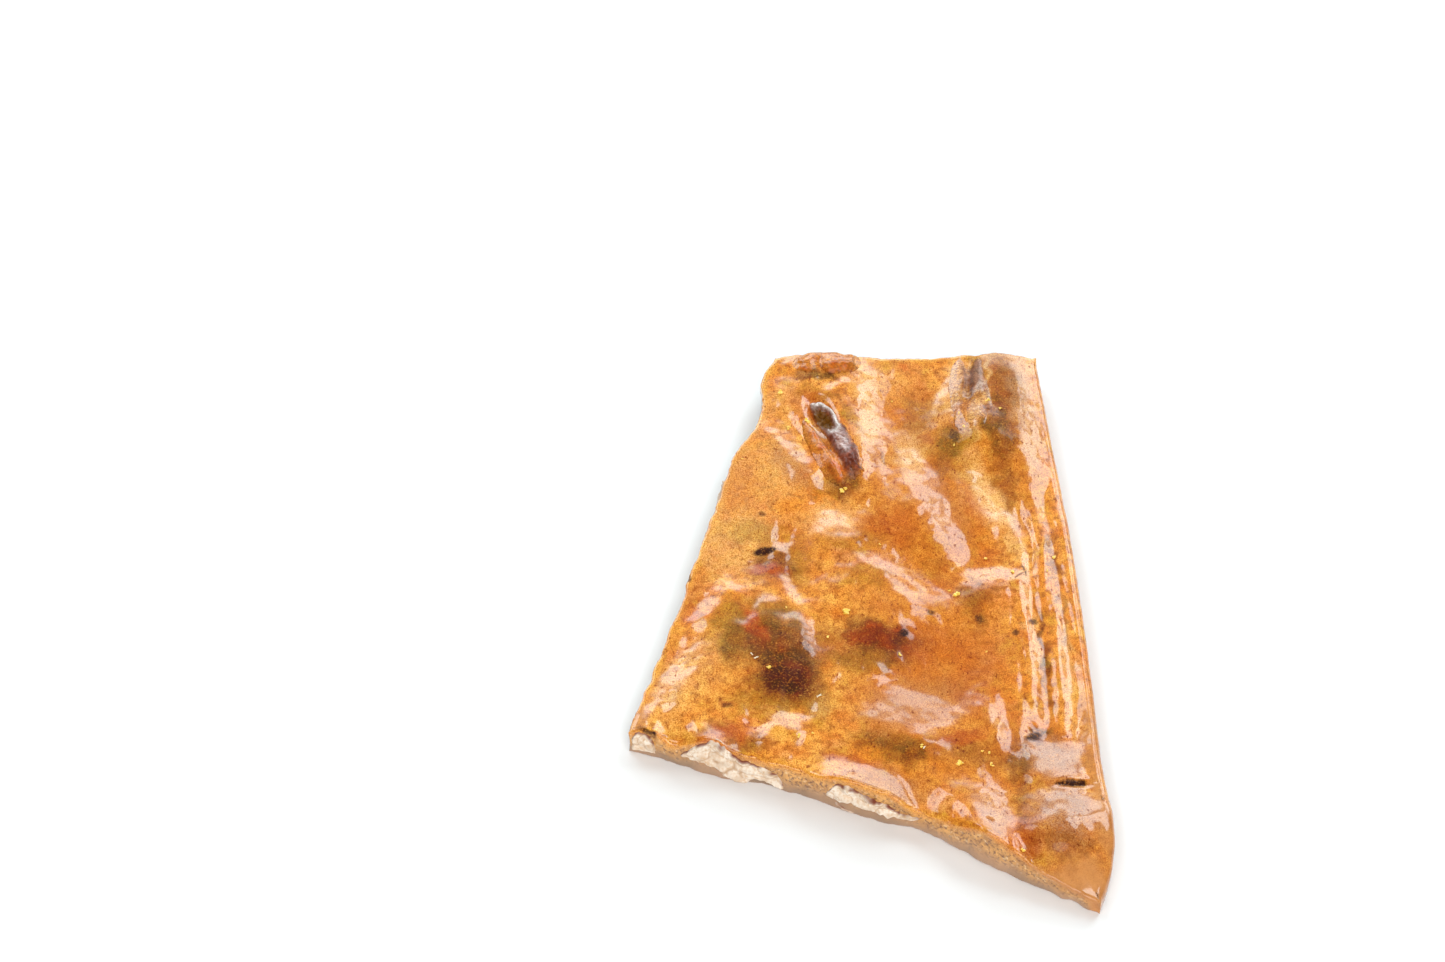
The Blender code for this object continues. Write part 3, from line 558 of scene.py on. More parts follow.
def pits(tree, place):
    """Where bubbles have broken the skin: fine dull pits, drawn out along the flow."""
    flow = add_node(tree, "ShaderNodeMapping", Vector=place, Scale=(1.0, 0.5, 1.0)).outputs["Vector"]
    grain = add_node(tree, "ShaderNodeTexNoise", Vector=flow, Scale=PER_MM / PIT_SIZE, Detail=3.0)
    spread = add_node(tree, "ShaderNodeMapRange", Value=grain.outputs["Fac"], From_Min=0.6, From_Max=0.72)
    return spread.outputs["Result"]


def candy_colour(tree, place):
    """Golden candy with its stains, painted shade and painted highlight, darkened by the grain of its
    bubbles.
    """
    colour = mottled(tree, place, linear(CANDY_BASE), CANDY_PATCHES)
    grain = add_node(tree, "ShaderNodeTexNoise", Vector=place, Scale=PER_MM / STAIN_PATCH, Detail=3.0)
    patches = add_node(tree, "ShaderNodeMapRange", Value=grain.outputs["Fac"], From_Min=0.12, From_Max=0.5)
    patchy = patches.outputs["Result"]
    flow = add_node(tree, "ShaderNodeTexNoise", Vector=place, Scale=PER_MM / STAIN_STREAK, Detail=3.0)
    streaks = add_node(tree, "ShaderNodeMapRange", Value=flow.outputs["Fac"], From_Min=0.4, From_Max=0.62)
    streaky = streaks.outputs["Result"]
    clamped = {"operation": "MULTIPLY", "use_clamp": True}
    shades = {}
    for layer, pair in CANDY_SHADES.items():
        first, second = linear(pair[0]), linear(pair[1])
        shades[layer] = add_node(tree, "ShaderNodeMix", MIX, Factor=streaky, A=first, B=second).outputs[2]
        cover = add_node(tree, "ShaderNodeAttribute", {"attribute_name": layer}).outputs["Fac"]
        cover = add_node(tree, "ShaderNodeMath", clamped, Value=cover, Value_001=patchy).outputs["Value"]
        colour = add_node(tree, "ShaderNodeMix", MIX, Factor=cover, A=colour, B=shades[layer]).outputs[2]
    colour = mottled(tree, place, colour, [(0.2, 2.0, 0.6, 0.35, "DCBC96")], MULTIPLY)
    cells = add_node(tree, "ShaderNodeTexVoronoi", Vector=place, Scale=PER_MM / BUBBLE_SPACING)
    distance = cells.outputs["Distance"]
    bubbles = add_node(tree, "ShaderNodeMapRange", Value=distance, From_Min=0.5, From_Max=0.15)
    for cover, shade in ((pits(tree, place), "B48454"), (bubbles.outputs["Result"], "DEBC98")):
        dimmed = add_node(tree, "ShaderNodeMix", MULTIPLY, Factor=cover, A=colour, B=linear(shade))
        colour = dimmed.outputs[2]
    return stained(tree, colour, [("thin", shades["thin"])])


def gloss(tree, place, dull_layers):
    """How glossy the skin is: less in its pits, and not at all where the given layers are strong."""
    dull = pits(tree, place)
    for layer in dull_layers:
        cover = add_node(tree, "ShaderNodeAttribute", {"attribute_name": layer}).outputs["Fac"]
        stronger = add_node(tree, "ShaderNodeMath", {"operation": "MAXIMUM"}, Value=dull, Value_001=cover)
        dull = stronger.outputs["Value"]
    return add_node(tree, "ShaderNodeMapRange", Value=dull, To_Min=1.0, To_Max=0.0).outputs["Result"]


def grained(tree, shader, place, size, detail, depth):
    """Gives a surface fine bumps of the given size and depth in millimetres."""
    bumps = add_node(tree, "ShaderNodeTexNoise", Vector=place, Scale=PER_MM / size, Detail=detail)
    relief = add_node(tree, "ShaderNodeBump", Height=bumps.outputs["Fac"], Distance=depth * MM)
    tree.links.new(shader.inputs["Normal"], relief.outputs["Normal"])


def new_finish(name):
    """A new material with its node tree and its shader."""
    finish = bpy.data.materials.new(name)
    finish.use_nodes = True
    return finish, finish.node_tree, finish.node_tree.nodes["Principled BSDF"]


amber, tree, shader = new_finish("boiled_sugar_candy")
place = add_node(tree, "ShaderNodeTexCoord").outputs["Object"]
# The broken walls are dull and sandy, and darker at the foot.
broken = mottled(tree, place, linear("E0A65C"), [
    (1.5, 4.0, 0.35, 0.7, "AC7846"), (0.5, 3.0, 0.5, 0.66, "7E5236"), (0.8, 3.0, 0.58, 0.76, "EACB9A"),
])
deep = mottled(tree, place, linear("8E7660"), [(9.0, 2.0, 0.35, 0.65, "B28C6E")])
wall = stained(tree, broken, [("foot", deep)])
colour = stained(tree, candy_colour(tree, place), [("wall", wall)])
tree.links.new(shader.inputs["Base Color"], colour)
# A clear coat gives the sharp glints of the skin. Nuts under it and pits leave it dull.
tree.links.new(shader.inputs["Coat Weight"], gloss(tree, place, ("dark_spots_and_shade", "dull")))
shader.inputs["Coat Roughness"].default_value = 0.09
shader.inputs["Roughness"].default_value = 0.4
shader.inputs["Specular IOR Level"].default_value = 0.1
grained(tree, shader, place, size=0.45, detail=2.0, depth=0.024)
candy_data.materials.append(amber)
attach(candy, "root")
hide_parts("candy_slab")


# The pecans that stand proud
# Shelled kernels that floated in the syrup: two lobes with a groove between them, a red-brown
# wrinkled skin, and a thin glaze of candy that is drawn up over their flanks.
KERNEL_RINGS = 130
KERNEL_SIDES = 120
# How high the glaze is drawn up a flank, how far it draws a kernel's skin down to the candy's
# top, and the y at which the rear side cuts the kernels.
DRAWN_UP = 0.45
HELD_DOWN = 0.65
REAR_CUT = 57.05


def kernel_mesh(name, middle, size, turn, sculpt):
    """A closed kernel. sculpt moves its skin and returns it with the strength of each colour.

    In its own frame x runs along the kernel, y across it and z up, in millimetres.
    """
    length, width, height = size
    angle = math.pi * np.arange(1, KERNEL_RINGS)[:, None] / KERNEL_RINGS
    around = 2.0 * math.pi * np.arange(KERNEL_SIDES)[None] / KERNEL_SIDES
    girth = np.sin(angle) ** 0.75
    x = -0.5 * length * np.cos(angle)
    y = 0.5 * width * girth * np.cos(around)
    z = 0.5 * height * girth * np.sin(around)
    ends = np.array([[-0.5 * length, 0.0, 0.0], [0.5 * length, 0.0, 0.0]])
    places = np.vstack([np.stack(np.broadcast_arrays(x, y, z), -1).reshape(-1, 3), ends])
    places, layers = sculpt(*places.T)
    glazed = layers.pop("glazed", 0.0)
    turned = np.array(Matrix.Rotation(math.radians(turn), 3, "Z"))
    places = places @ turned.T + np.array(middle)
    places[:, 1] = np.minimum(places[:, 1], REAR_CUT)
    stands = places[:, 2] - top_height(places[:, 0], places[:, 1])
    places[:, 2] -= HELD_DOWN * glazed * np.maximum(stands, 0.0)
    here = np.arange(KERNEL_SIDES)
    after = (here + 1) % KERNEL_SIDES
    faces = []
    for ring in range(KERNEL_RINGS - 2):
        lower, upper = ring * KERNEL_SIDES, (ring + 1) * KERNEL_SIDES
        faces += quads(lower + here, lower + after, upper + after, upper + here)
    last = (KERNEL_RINGS - 2) * KERNEL_SIDES
    start, end = len(places) - 2, len(places) - 1
    faces += np.stack([np.full_like(here, start), after, here], -1).tolist()
    faces += np.stack([np.full_like(here, end), last + here, last + after], -1).tolist()
    data = mesh_in_mm(name, places, faces)
    for layer, values in layers.items():
        add_layer(data, layer, values)
    add_layer(data, "cut", smooth_step((places[:, 1] - REAR_CUT + 0.08) / 0.08))
    add_stains(data)
    stands = places[:, 2] - top_height(places[:, 0], places[:, 1]) + 0.25 * noise_at(*(places.T / 0.9))
    add_layer(data, "drawn_up", np.maximum(smooth_step(1.0 - stands / DRAWN_UP), glazed))
    return data


# The layers of a kernel: candied is orange sugar on its skin; the dark pit layer darkens pits and
# slots and paints shade under a flank; rim is a painted highlight on a pale ridge; bare is skin without
# gloss; the frost layer is dull sugar with painted sheen; glazed is the candy drawn over it.
def sculpt_top_half(x, y, z):
    """The half near the rear left: a candied left lobe, a bare right one and a broken rear end."""
    up = smooth_step(z / 1.2)
    groove = 1.1 + 0.04 * x
    right = smooth_step((groove - y) / 0.8)
    z = z - up * (0.5 + 1.3 * smooth_step((x + 9.0) / 14.0)) * np.exp(-((y - groove) / 0.8) ** 2)
    # The pit is sunk, and its dark colour adds painted shade in it.
    pit = np.exp(-((x - 6.6) / 3.0) ** 2 - ((y + 0.8 - 0.06 * x) / 1.15) ** 2)
    z = z - up * (1.9 - 0.9 * noise_at(x / 0.8, y / 0.6, 4.0)) * pit
    # A raised rim round the pit, painted with a highlight.
    rim_at = oval(x, y, 6.6, -0.6, 4.3, 1.8, 0)
    rim = np.exp(-((rim_at - 1.0) / 0.2) ** 2) * smooth_step(0.7 - y) * smooth_step((x - 1.5) / 2.0) * up
    z = z + 0.35 * rim
    z = z - up * 0.9 * smooth_step((-x - 4.0) / 7.0)
    wrinkled = right * (1.0 - pit)
    z = z + up * wrinkled * (0.35 * noise_at(x / 2.4, y / 1.1, 5.0) + 0.14 * noise_at(x / 0.7, y / 0.5, 1.0))
    lumps = 0.25 * noise_at(x / 3.0, y / 1.6, 7.0) + 0.05 * noise_at(x / 0.8, y / 0.8, 3.0)
    z = z + up * (1.0 - right) * lumps
    y = y + 0.25 * noise_at(x / 2.0, y / 2.0, z / 2.0)
    # Spots of sugar frost, with painted sheen of the softbox on them.
    frost_and_sheen = spots(x, y, [(0.0, -1.2, 2.6, 1.2, -12, 1.0), (-3.5, -3.4, 3.0, 0.6, -10, 0.8),
                           (-9.5, -0.6, 2.4, 1.6, 0, 0.9)])
    layers = {
        "candied": 1.0 - right,
        "dark_pit_and_shade": smooth_step(1.6 * pit),
        "rim": np.minimum(1.3 * rim, 1.0),
        "bare": (0.8 * right + 0.5 * (1.0 - right)) * (1.0 - frost_and_sheen) * (1.0 - rim),
        "frost_and_sheen": frost_and_sheen * smooth_step(0.75 + 1.4 * noise_at(x / 0.6, y / 0.6, 2.0)),
        "glazed": np.maximum(
            0.95 * smooth_step((y - groove - 0.5 + 0.8 * noise_at(x / 2.0, y / 1.5, 8.0)) / 2.4),
            0.85 * smooth_step((-x - 5.5 + 2.0 * noise_at(x / 1.2, y / 1.2, 6.0)) / 3.0),
        ),
    }
    return np.stack([x, y, z], -1), layers


def sculpt_rear_half(x, y, z):
    """The long half near the right rear: glazed over, with a dark slot between its lobes."""
    up = smooth_step(z / 1.2)
    slot = 1.2 - 0.12 * x
    open_slot = np.exp(-((y - slot) / 1.1) ** 2) * smooth_step((x + 1.0) / 4.0)
    z = z - up * open_slot
    line = np.exp(-((y - slot + 2.0) / 0.75) ** 2) * smooth_step((x - 0.5) / 3.0)
    z = z + up * 0.12 * line
    z = z - up * (0.5 * smooth_step((-1.5 - y) / 4.0) + 1.2 * smooth_step((-x - 4.0) / 7.0))
    z = z + up * (0.3 * noise_at(x / 4.0, y / 1.6, 15.0) + 0.08 * noise_at(x / 0.8, y / 0.6, 11.0))
    left = smooth_step((y - slot + 0.4) / 0.8)
    # The slot gets painted shade, and the line beside it a painted highlight.
    layers = {
        "candied": left * 0.3 + smooth_step((-y - 1.0) / 2.0) * 0.55,
        "dark_pit_and_shade": 0.5 * smooth_step(1.3 * open_slot),
        "rim": 0.5 * line,
        "bare": np.zeros_like(x),
        "frost_and_sheen": np.zeros_like(x),
        "glazed": (1.0 - smooth_step(1.3 * open_slot)) * (1.0 - 0.6 * line),
    }
    return np.stack([x, y, z], -1), layers


def sculpt_rear_left(x, y, z):
    """The kernel at the rear left: glazed orange, with painted shade under its front flank."""
    up = smooth_step(z / 1.0)
    z = z + up * (0.35 * noise_at(x / 2.4, y / 1.8, 25.0) + 0.1 * noise_at(x / 0.8, y / 0.7, 21.0))
    z = z - up * 0.7 * np.exp(-((x + 1.5) / 1.2) ** 2) * smooth_step((1.5 - y) / 2.0)
    y = y - 0.32 * (x / 6.0) ** 2 + 0.6 * noise_at(x / 2.2, 0.3 * y, 27.0)
    shaded = smooth_step((-0.3 - y + 0.1 * x) / 1.4)
    at_ends = smooth_step((np.abs(x) - 3.6 + noise_at(x, y, 29.0)) / 1.6)
    layers = {
        "candied": np.ones_like(x),
        "dark_pit_and_shade": 0.2 * shaded + 0.5 * spots(x, y, [(5.6, -0.2, 1.2, 1.6, 0, 1.0)]),
        "rim": np.zeros_like(x),
        "bare": 0.3 + 0.5 * shaded,
        "frost_and_sheen": np.zeros_like(x),
        "glazed": np.maximum(0.6 * (1.0 - shaded), at_ends),
    }
    return np.stack([x, y, z], -1), layers


# Pecan skin under a thin candy glaze: wrinkled, red-brown to near black, with sharp glints.
glazed_skin, tree, shader = new_finish("glazed_pecan_skin")
place = add_node(tree, "ShaderNodeTexCoord").outputs["Object"]
bare_skin = mottled(tree, place, linear("96482C"), [(1.1, 4.0, 0.35, 0.65, "622A18")])
candied_skin = mottled(tree, place, linear("F09A3C"), [(1.6, 3.0, 0.35, 0.65, "D4661C")])
# The rim carries a painted highlight, the frost painted sheen and the pits painted shade.
colour = stained(tree, bare_skin, [
    ("candied", candied_skin), ("rim", linear("E4D8D4")), ("frost_and_sheen", linear("C09A90")),
    ("dark_pit_and_shade", linear("74480C")), ("drawn_up", candy_colour(tree, place)), ("cut", linear("E8D6C0")),
])
colour = mottled(tree, place, colour, [(0.4, 2.0, 0.7, 0.3, "B8A898")], MULTIPLY)
tree.links.new(shader.inputs["Base Color"], colour)
shader.inputs["Roughness"].default_value = 0.4
shader.inputs["Specular IOR Level"].default_value = 0.12
tree.links.new(shader.inputs["Coat Weight"], gloss(tree, place, ("dark_pit_and_shade", "dull", "bare")))
shader.inputs["Coat Roughness"].default_value = 0.12
grained(tree, shader, place, size=0.5, detail=3.0, depth=0.08)

# Each kernel's node, middle, size, turn in degrees, and the way that it is sculpted.
KERNELS = [
    ("pecan_half_top", (-4.1, 35.2, 4.95), (24.0, 9.6, 6.9), 110.0, sculpt_top_half),
    ("pecan_half_rear", (20.3, 45.6, 4.7), (27.0, 9.8, 6.4), 93.0, sculpt_rear_half),
    ("pecan_rear_left", (-5.3, 55.0, 6.0), (12.5, 6.4, 5.2), 2.0, sculpt_rear_left),
]
for node_name, middle, size, turn, sculpt in KERNELS:
    kernel_data = kernel_mesh("glazed_" + node_name, middle, size, turn, sculpt)
    kernel = put_in("glazed_" + node_name, kernel_data)
    kernel_data.shade_smooth()
    kernel_data.materials.append(glazed_skin)
    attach(kernel, "root")
    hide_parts(node_name)


# The broken pecans in the walls
# Kernels that snapped with the sheet: cream flesh, flush with the wall and crumbly, edged by
# the thin brown line of its skin. Each is a plate that reaches a little way into the candy.
FLESH_STEP = 0.16
FLESH_LEVELS = 32
FLESH_DEPTH = 1.3


def side_at(side, along):
    """The place on a side's outline at x, or at y for the left and right sides, and its way out."""
    dense = spline(SIDES[side])
    key = 0 if side in ("front", "rear") else 1
    x = np.interp(along, dense[:, key], dense[:, 0])
    y = np.interp(along, dense[:, key], dense[:, 1])
    ahead_x = np.gradient(x, along)
    ahead_y = np.gradient(y, along)
    size = np.hypot(ahead_x, ahead_y)
    way = 1.0 if side in ("front", "right") else -1.0
    return x, y, way * ahead_y / size, -way * ahead_x / size


def flesh_plate(side, upper, lower, seed):
    """One plate of flesh between two lines on the wall: its points, its faces, and how strong the
    skin and the painted shade of the clefts are at each point.
    """
    upper_at, upper_level = np.array(upper).T
    lower_at, lower_level = np.array(lower).T
    along = np.arange(upper_at[0], upper_at[-1] + FLESH_STEP, FLESH_STEP)
    ends = np.minimum(along - along[0], along[-1] - along)
    top = np.interp(along, upper_at, upper_level) + 0.35 * noise_at(along / 0.8, 0.0, seed)
    bottom = np.interp(along, lower_at, lower_level) + 0.3 * noise_at(along / 0.9, 3.0, seed)
    top = np.maximum(top, bottom + 0.1)
    share = np.arange(FLESH_LEVELS + 1) / FLESH_LEVELS
    level = np.maximum(bottom[:, None] + (top - bottom)[:, None] * share[None], 0.05)
    x, y, out_x, out_y = (np.broadcast_to(values[:, None], level.shape) for values in side_at(side, along))
    height = top_height(x[:, 0], y[:, 0])[:, None]
    level = np.minimum(level, height - 0.1)
    names = np.full(level.shape, side)
    front = wall_place(x, y, out_x, out_y, level, height, names)
    to_edge = np.minimum(np.minimum(level - bottom[:, None], top[:, None] - level), 0.8 * ends[:, None])
    inside = smooth_step(to_edge / 0.5)
    t = np.broadcast_to(along[:, None], level.shape)
    shaded_cleft = np.abs(noise_at((t + level) / 3.6, (level - 0.35 * t) / 1.9, seed + 1.0))
    bulge = shaded_cleft + 0.4 * noise_at(t / 3.4, level / 1.2, seed + 2.0)
    bulge += 0.05 * noise_at(t / 0.5, level / 0.4, seed)
    out = -0.35 + inside * np.maximum(0.45, 0.5 + bulge)
    front[..., 0] += out_x * out
    front[..., 1] += out_y * out
    back = front.copy()
    back[..., 0] -= out_x * FLESH_DEPTH
    back[..., 1] -= out_y * FLESH_DEPTH
    back[..., 2] = np.minimum(back[..., 2], top_height(back[..., 0], back[..., 1]) - 0.2)
    index = np.arange(level.size).reshape(level.shape)
    hind = index + level.size
    faces = quads(index[:-1, :-1], index[1:, :-1], index[1:, 1:], index[:-1, 1:])
    faces += quads(hind[:-1, :-1], hind[:-1, 1:], hind[1:, 1:], hind[1:, :-1])
    around = np.concatenate([index[:, 0], index[-1, 1:], index[-2::-1, -1], index[0, -2:0:-1]])
    after = np.roll(around, -1)
    faces += quads(around, around + level.size, after + level.size, after)
    if side in ("rear", "left"):
        faces = [face[::-1] for face in faces]
    skin = smooth_step(1.8 - (top[:, None] - level) / 0.35)
    skin *= smooth_step(0.6 + 2.0 * noise_at(t / 2.5, level, seed + 5.0))
    skin *= 1.0 if side == "front" else 0.3
    points = np.vstack([front.reshape(-1, 3), back.reshape(-1, 3)])
    # The second is the painted shade of the clefts.
    shades = np.stack([skin.ravel(), smooth_step(1.0 - shaded_cleft.ravel() / 0.06)])
    return points, faces, np.hstack([shades, shades])


def rounded(middle, half, low, high):
    """Upper and lower lines of a rounded patch of flesh."""
    places = np.linspace(-1.0, 1.0, 9)
    swell = 0.5 * (high - low) * np.sqrt(np.maximum(0.0, 1.0 - places ** 2))
    centre = 0.5 * (low + high)
    along = middle + half * places
    return list(zip(along, centre + swell)), list(zip(along, centre - swell))


# Each node's plates: the side, then the upper and lower lines as place along it and level.
BROKEN_PECANS = {
    "pecan_front_left": [(
        "front",
        [(-30.6, 2.0), (-29.2, 4.0), (-27.9, 5.4), (-26.8, 6.1), (-25.7, 6.6), (-24.9, 6.5), (-22.8, 5.8),
         (-21.2, 4.9), (-19.3, 4.5), (-16.4, 4.2), (-14.8, 3.4), (-13.4, 1.3)],
        [(-30.6, 1.8), (-28.1, 1.8), (-24.1, 1.2), (-23.3, 0.3), (-19.3, 0.1), (-18.5, 0.8), (-15.5, 1.0),
         (-13.4, 0.4)],
    )],
    "pecan_front_middle": [(
        "front",
        [(-7.2, 2.6), (-6.3, 4.4), (-5.6, 5.6), (-4.3, 6.1), (-2.8, 6.1), (-0.1, 5.2), (1.7, 4.8), (3.2, 4.1),
         (5.0, 3.2), (6.7, 3.2), (8.4, 3.0)],
        [(-7.2, 2.4), (-5.5, 1.7), (-4.0, 2.2), (-2.1, 2.2), (1.8, 1.7), (3.3, 2.0), (6.3, 1.8), (8.4, 2.7)],
    ), (
        "front",
        [(-5.7, 1.3), (-4.2, 1.5), (-2.6, 0.9), (-1.8, 0.4)],
        [(-5.7, 1.0), (-4.7, 0.4), (-3.4, 0.1), (-1.8, 0.1)],
    )],
    "pecan_front_corner": [(
        "front",
        [(-38.4, 2.9), (-37.6, 4.9), (-36.7, 5.1), (-35.6, 4.7), (-34.8, 3.7), (-34.1, 1.1)],
        [(-38.4, 0.9), (-36.5, 0.6), (-34.1, 0.6)],
    )],
    "pecan_left_middle": [("left", *rounded(26.8, 4.2, 1.3, 5.1))],
    "pecan_left_rear": [("left", *rounded(38.4, 3.2, 1.7, 5.0))],
    "pecan_rear_middle": [("rear", *rounded(9.5, 5.4, 1.4, 5.3))],
}

# Pecan flesh, broken: dull, cream, with fibres, painted shade in its crevices, and a brown edge of skin.
flesh, tree, shader = new_finish("broken_pecan_flesh")
place = add_node(tree, "ShaderNodeTexCoord").outputs["Object"]
colour = mottled(tree, place, linear("F2E6D6"), [
    (1.8, 4.0, 0.35, 0.65, "D6C0A8"), (0.5, 2.0, 0.45, 0.75, "D0AC84"),
])
# Painted shade in the clefts, and the brown edge of skin.
colour = stained(tree, colour, [("shaded_cleft", linear("BE9A78")), ("skin", linear("7A3820"))])
tree.links.new(shader.inputs["Base Color"], colour)
shader.inputs["Roughness"].default_value = 0.62
grained(tree, shader, place, size=0.35, detail=3.0, depth=0.07)

for seed, (node_name, plates) in enumerate(BROKEN_PECANS.items()):
    points, faces, shades = np.empty((0, 3)), [], np.empty((2, 0))
    for number, (side, upper, lower) in enumerate(plates):
        plate_points, plate_faces, plate_shades = flesh_plate(side, upper, lower, 10.0 * seed + 5.0 * number)
        faces += [[corner + len(points) for corner in face] for face in plate_faces]
        points = np.vstack([points, plate_points])
        shades = np.hstack([shades, plate_shades])
    data = mesh_in_mm("broken_" + node_name, points, faces)
    add_layer(data, "skin", shades[0])
    add_layer(data, "shaded_cleft", shades[1])
    data.shade_smooth()
    data.materials.append(flesh)
    piece = put_in("broken_" + node_name, data)
    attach(piece, "root")
    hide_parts(node_name)


# The crumbs
# Flakes of candy and slivers of pecan that fell on the top when the sheet was broken.
# They lie loose on it, so each is a small flat lump at its true size.
# Middle x and y and size of each group of flakes. A sliver has a turn in degrees too.
CRUMBS = [
    (-2.6, -0.9, 1.3), (14.4, 4.2, 0.5), (15.6, 3.2, 0.9), (20.8, 11.6, 0.5), (25, 8.2, 0.6),
    (32.2, 11.3, 0.7), (31, 8.2, 0.4), (-12.8, -0.3, 0.3), (-15.8, -13, 0.6), (-6.2, -6.3, 0.5),
    (5.7, -9.6, 0.5), (-13.3, 48.2, 0.9), (-11.9, 40, 0.7), (-8.9, 41.4, 0.8), (-2.8, 25.8, 0.9),
    (22.5, 45.8, 0.6), (24.6, 43.8, 0.5), (-11.2, -27.2, 0.8), (14.6, -32.2, 1), (19.8, -32.7, 0.6),
    (19.4, -30.4, 0.4), (18.4, -30, 0.4), (23.9, -49.8, 0.7), (-8.8, -26.3, 0.4), (8.7, -29.3, 0.6),
    (17.4, 43.3, 0.5), (18, 40, 0.5), (16.3, 36.2, 0.4), (20, -9, 0.3), (3, 13.8, 0.3), (-20, 33, 0.3),
    (6, 47, 0.3),
]
SLIVERS = [
    (-17.9, -11.2, 1.1, 30), (-7.7, -18.8, 1.4, 35), (-5, 31.8, 0.9, 50), (9, -29.6, 0.8, 60),
    (-18.6, -10.4, 0.8, -50),
]
random.seed(7)


def lump(middle, sizes, turn):
    """One rough lump: the hull of points strewn about its middle."""
    points = []
    for _ in range(14):
        way = Vector((random.gauss(0, 1), random.gauss(0, 1), random.gauss(0, 1))).normalized()
        points.append(Vector(way[i] * sizes[i] * random.uniform(0.75, 1.1) for i in range(3)))
    mesh = bmesh.new()
    for point in points:
        mesh.verts.new(point)
    bmesh.ops.convex_hull(mesh, input=mesh.verts)
    loose = [vert for vert in mesh.verts if not vert.link_faces]
    bmesh.ops.delete(mesh, geom=loose, context="VERTS")
    mesh.transform(Matrix.Translation(middle) @ Matrix.Rotation(math.radians(turn), 4, "Z"))
    return mesh


def scattered(name, lumps):
    """Joins lumps into one mesh."""
    joined = bmesh.new()
    for each in lumps:
        part = bpy.data.meshes.new("part")
        each.transform(Matrix.Scale(MM, 4))
        each.to_mesh(part)
        joined.from_mesh(part)
        each.free()
        bpy.data.meshes.remove(part)
    data = bpy.data.meshes.new(name)
    joined.to_mesh(data)
    joined.free()
    return data


def on_top(x, y, lift):
    return Vector((x, y, float(top_height(np.array([x]), np.array([y]))[0]) + lift))


flakes = []
for x, y, size in CRUMBS:
    for _ in range(3):
        near_x = x + random.uniform(-0.4, 0.4) * size
        near_y = y + random.uniform(-0.4, 0.4) * size
        reach = size * random.uniform(0.4, 0.65)
        sizes = (reach, 0.75 * reach, 0.4 * reach)
        flakes.append(lump(on_top(near_x, near_y, 0.15), sizes, random.uniform(0, 180)))
slivers = []
for x, y, size, turn in SLIVERS:
    for bend in (-12.0, 14.0):
        slivers.append(lump(on_top(x, y, 0.2), (0.5 * size, 0.1, 0.1), turn + bend))

# Hard candy in thin flakes: clear yellow, so that it shows lighter than the sheet.
flake_candy, tree, shader = new_finish("candy_flake")
shader.inputs["Base Color"].default_value = linear("F0C44C")
shader.inputs["Roughness"].default_value = 0.3
# Splinters of pecan flesh: dull and cream, too small to show a grain.
sliver_flesh, tree, shader = new_finish("pecan_sliver")
shader.inputs["Base Color"].default_value = linear("EFE0C0")
shader.inputs["Roughness"].default_value = 0.6
for name, lumps, material, slot in (
    ("candy_flakes", flakes, flake_candy, "amber_candy"),
    ("pecan_slivers", slivers, sliver_flesh, "pecan_flesh"),
):
    data = scattered(name, lumps)
    data.materials.append(material)
    piece = put_in(name, data)
    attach(piece, "root")


# The table and the light
# A pale sweep. Behind the piece stands a broad low softbox with two weaker ones round it, which
# soften its border: slopes that face the rear catch it, and level places do not. Two smaller
# boxes at the rear corners light the sides of the folds, and a soft fill comes from the front.
# The camera looks down on the top at 48 degrees, from a little to the left.
CAMERA_PLACE = Vector((-23.383, -430.209, 512.823)) * MM
CAMERA_TURN = math.radians(90.0 - 47.874)

floor_data = bpy.data.meshes.new("table_top")
half = 3.0
floor_corners = [(-half, -half, 0), (half, -half, 0), (half, half, 0), (-half, half, 0)]
floor_data.from_pydata(floor_corners, [], [(0, 1, 2, 3)])
floor = put_in("table_top", floor_data)
floor.location.z = -0.0001
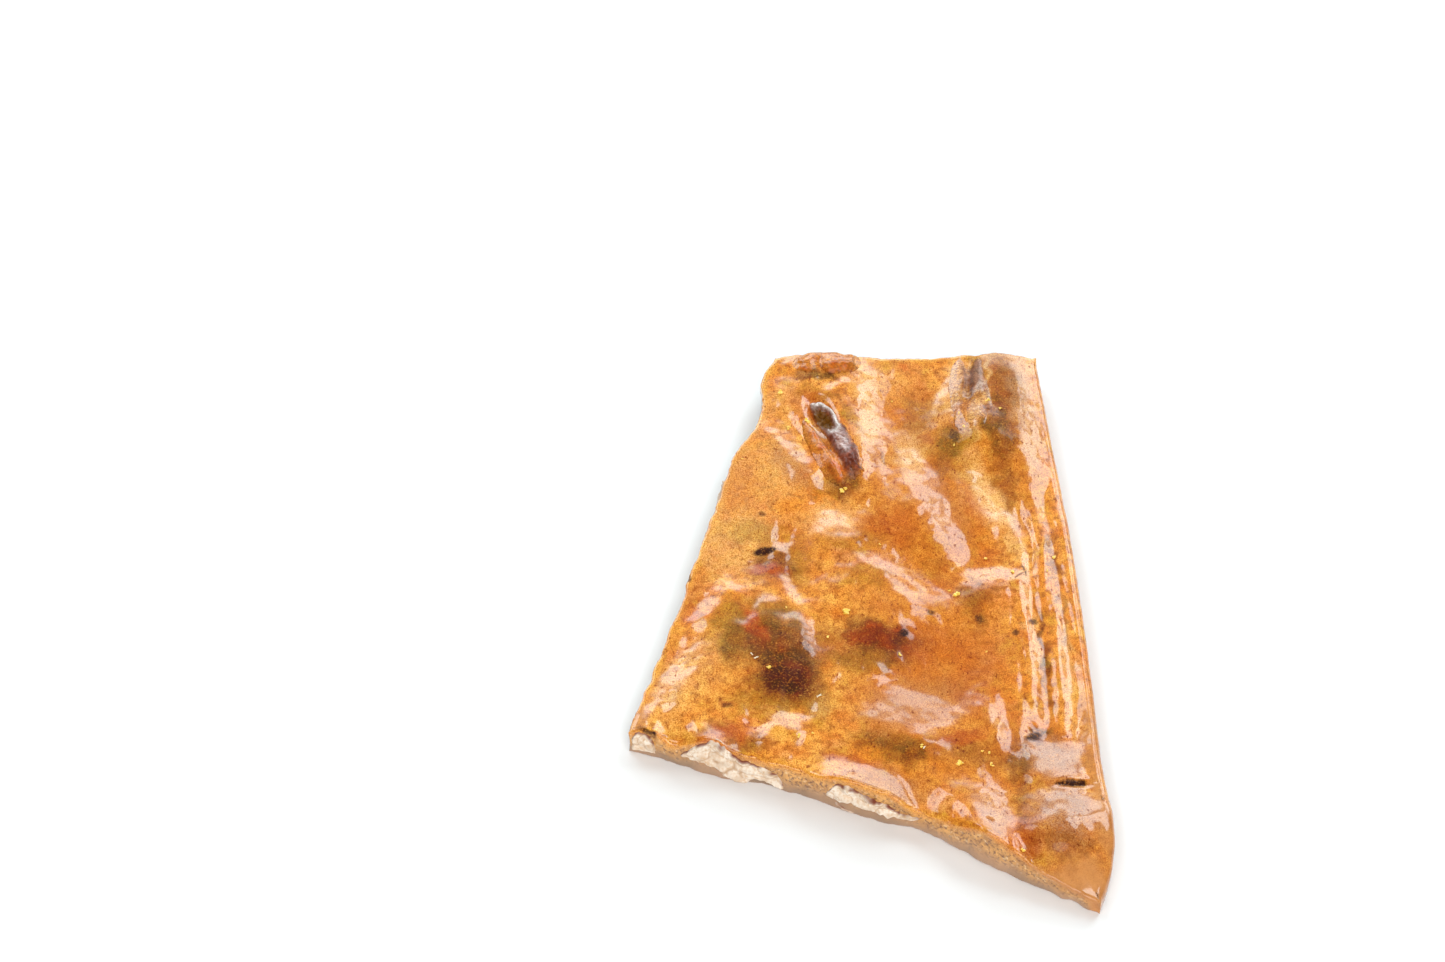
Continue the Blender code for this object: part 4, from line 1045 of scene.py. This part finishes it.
# Matt white board: it shows only a soft shadow.
white, tree, shader = new_finish("pale_table")
shader.inputs["Base Color"].default_value = linear("EAE9E9")
shader.inputs["Roughness"].default_value = 0.7
floor_data.materials.append(white)

world = bpy.data.worlds.new("studio")
world.use_nodes = True
world.node_tree.nodes["Background"].inputs["Color"].default_value = (1.0, 1.0, 1.0, 1.0)
world.node_tree.nodes["Background"].inputs["Strength"].default_value = 0.08
bpy.context.scene.world = world


def softbox(name, azimuth, elevation, distance, width, height, radiance, colour):
    """A rectangular light that faces the piece. Its direction is in degrees, its sizes in metres."""
    light = bpy.data.lights.new(name, "AREA")
    light.shape = "RECTANGLE"
    light.size = width
    light.size_y = height
    light.energy = radiance * math.pi * width * height
    light.color = colour
    holder = put_in(name, light)
    a, e = math.radians(azimuth), math.radians(elevation)
    holder.location = Vector((math.sin(a) * math.cos(e), math.cos(a) * math.cos(e), math.sin(e))) * distance
    holder.rotation_euler = holder.location.to_track_quat("Z", "Y").to_euler()


softbox("rear_softbox", 4.0, 25.8, 1.30, 2.3, 0.51, 3.6, (0.81, 0.94, 1.0))
softbox("rear_softbox_halo", 4.0, 28.0, 1.31, 2.35, 0.61, 1.4, (0.79, 0.95, 1.0))
softbox("rear_softbox_rim", 4.0, 30.0, 1.32, 2.4, 0.70, 0.2, (0.79, 0.95, 1.0))
softbox("rear_right_softbox", 44.0, 48.0, 1.3, 0.7, 0.42, 6.4, (0.82, 0.95, 1.0))
softbox("rear_left_softbox", -42.0, 48.0, 1.3, 0.5, 0.40, 6.0, (0.82, 0.95, 1.0))
softbox("front_fill", 180.0, 45.0, 1.5, 2.0, 1.0, 4.4, (1.0, 0.96, 0.92))

camera_data = bpy.data.cameras.new("camera")
camera_data.lens = 100.0
camera_data.sensor_width = 36.0
camera = put_in("camera", camera_data)
camera.location = CAMERA_PLACE
camera.rotation_euler = (CAMERA_TURN, 0.0, 0.0)
bpy.context.scene.camera = camera
bpy.context.scene.view_settings.view_transform = "Standard"
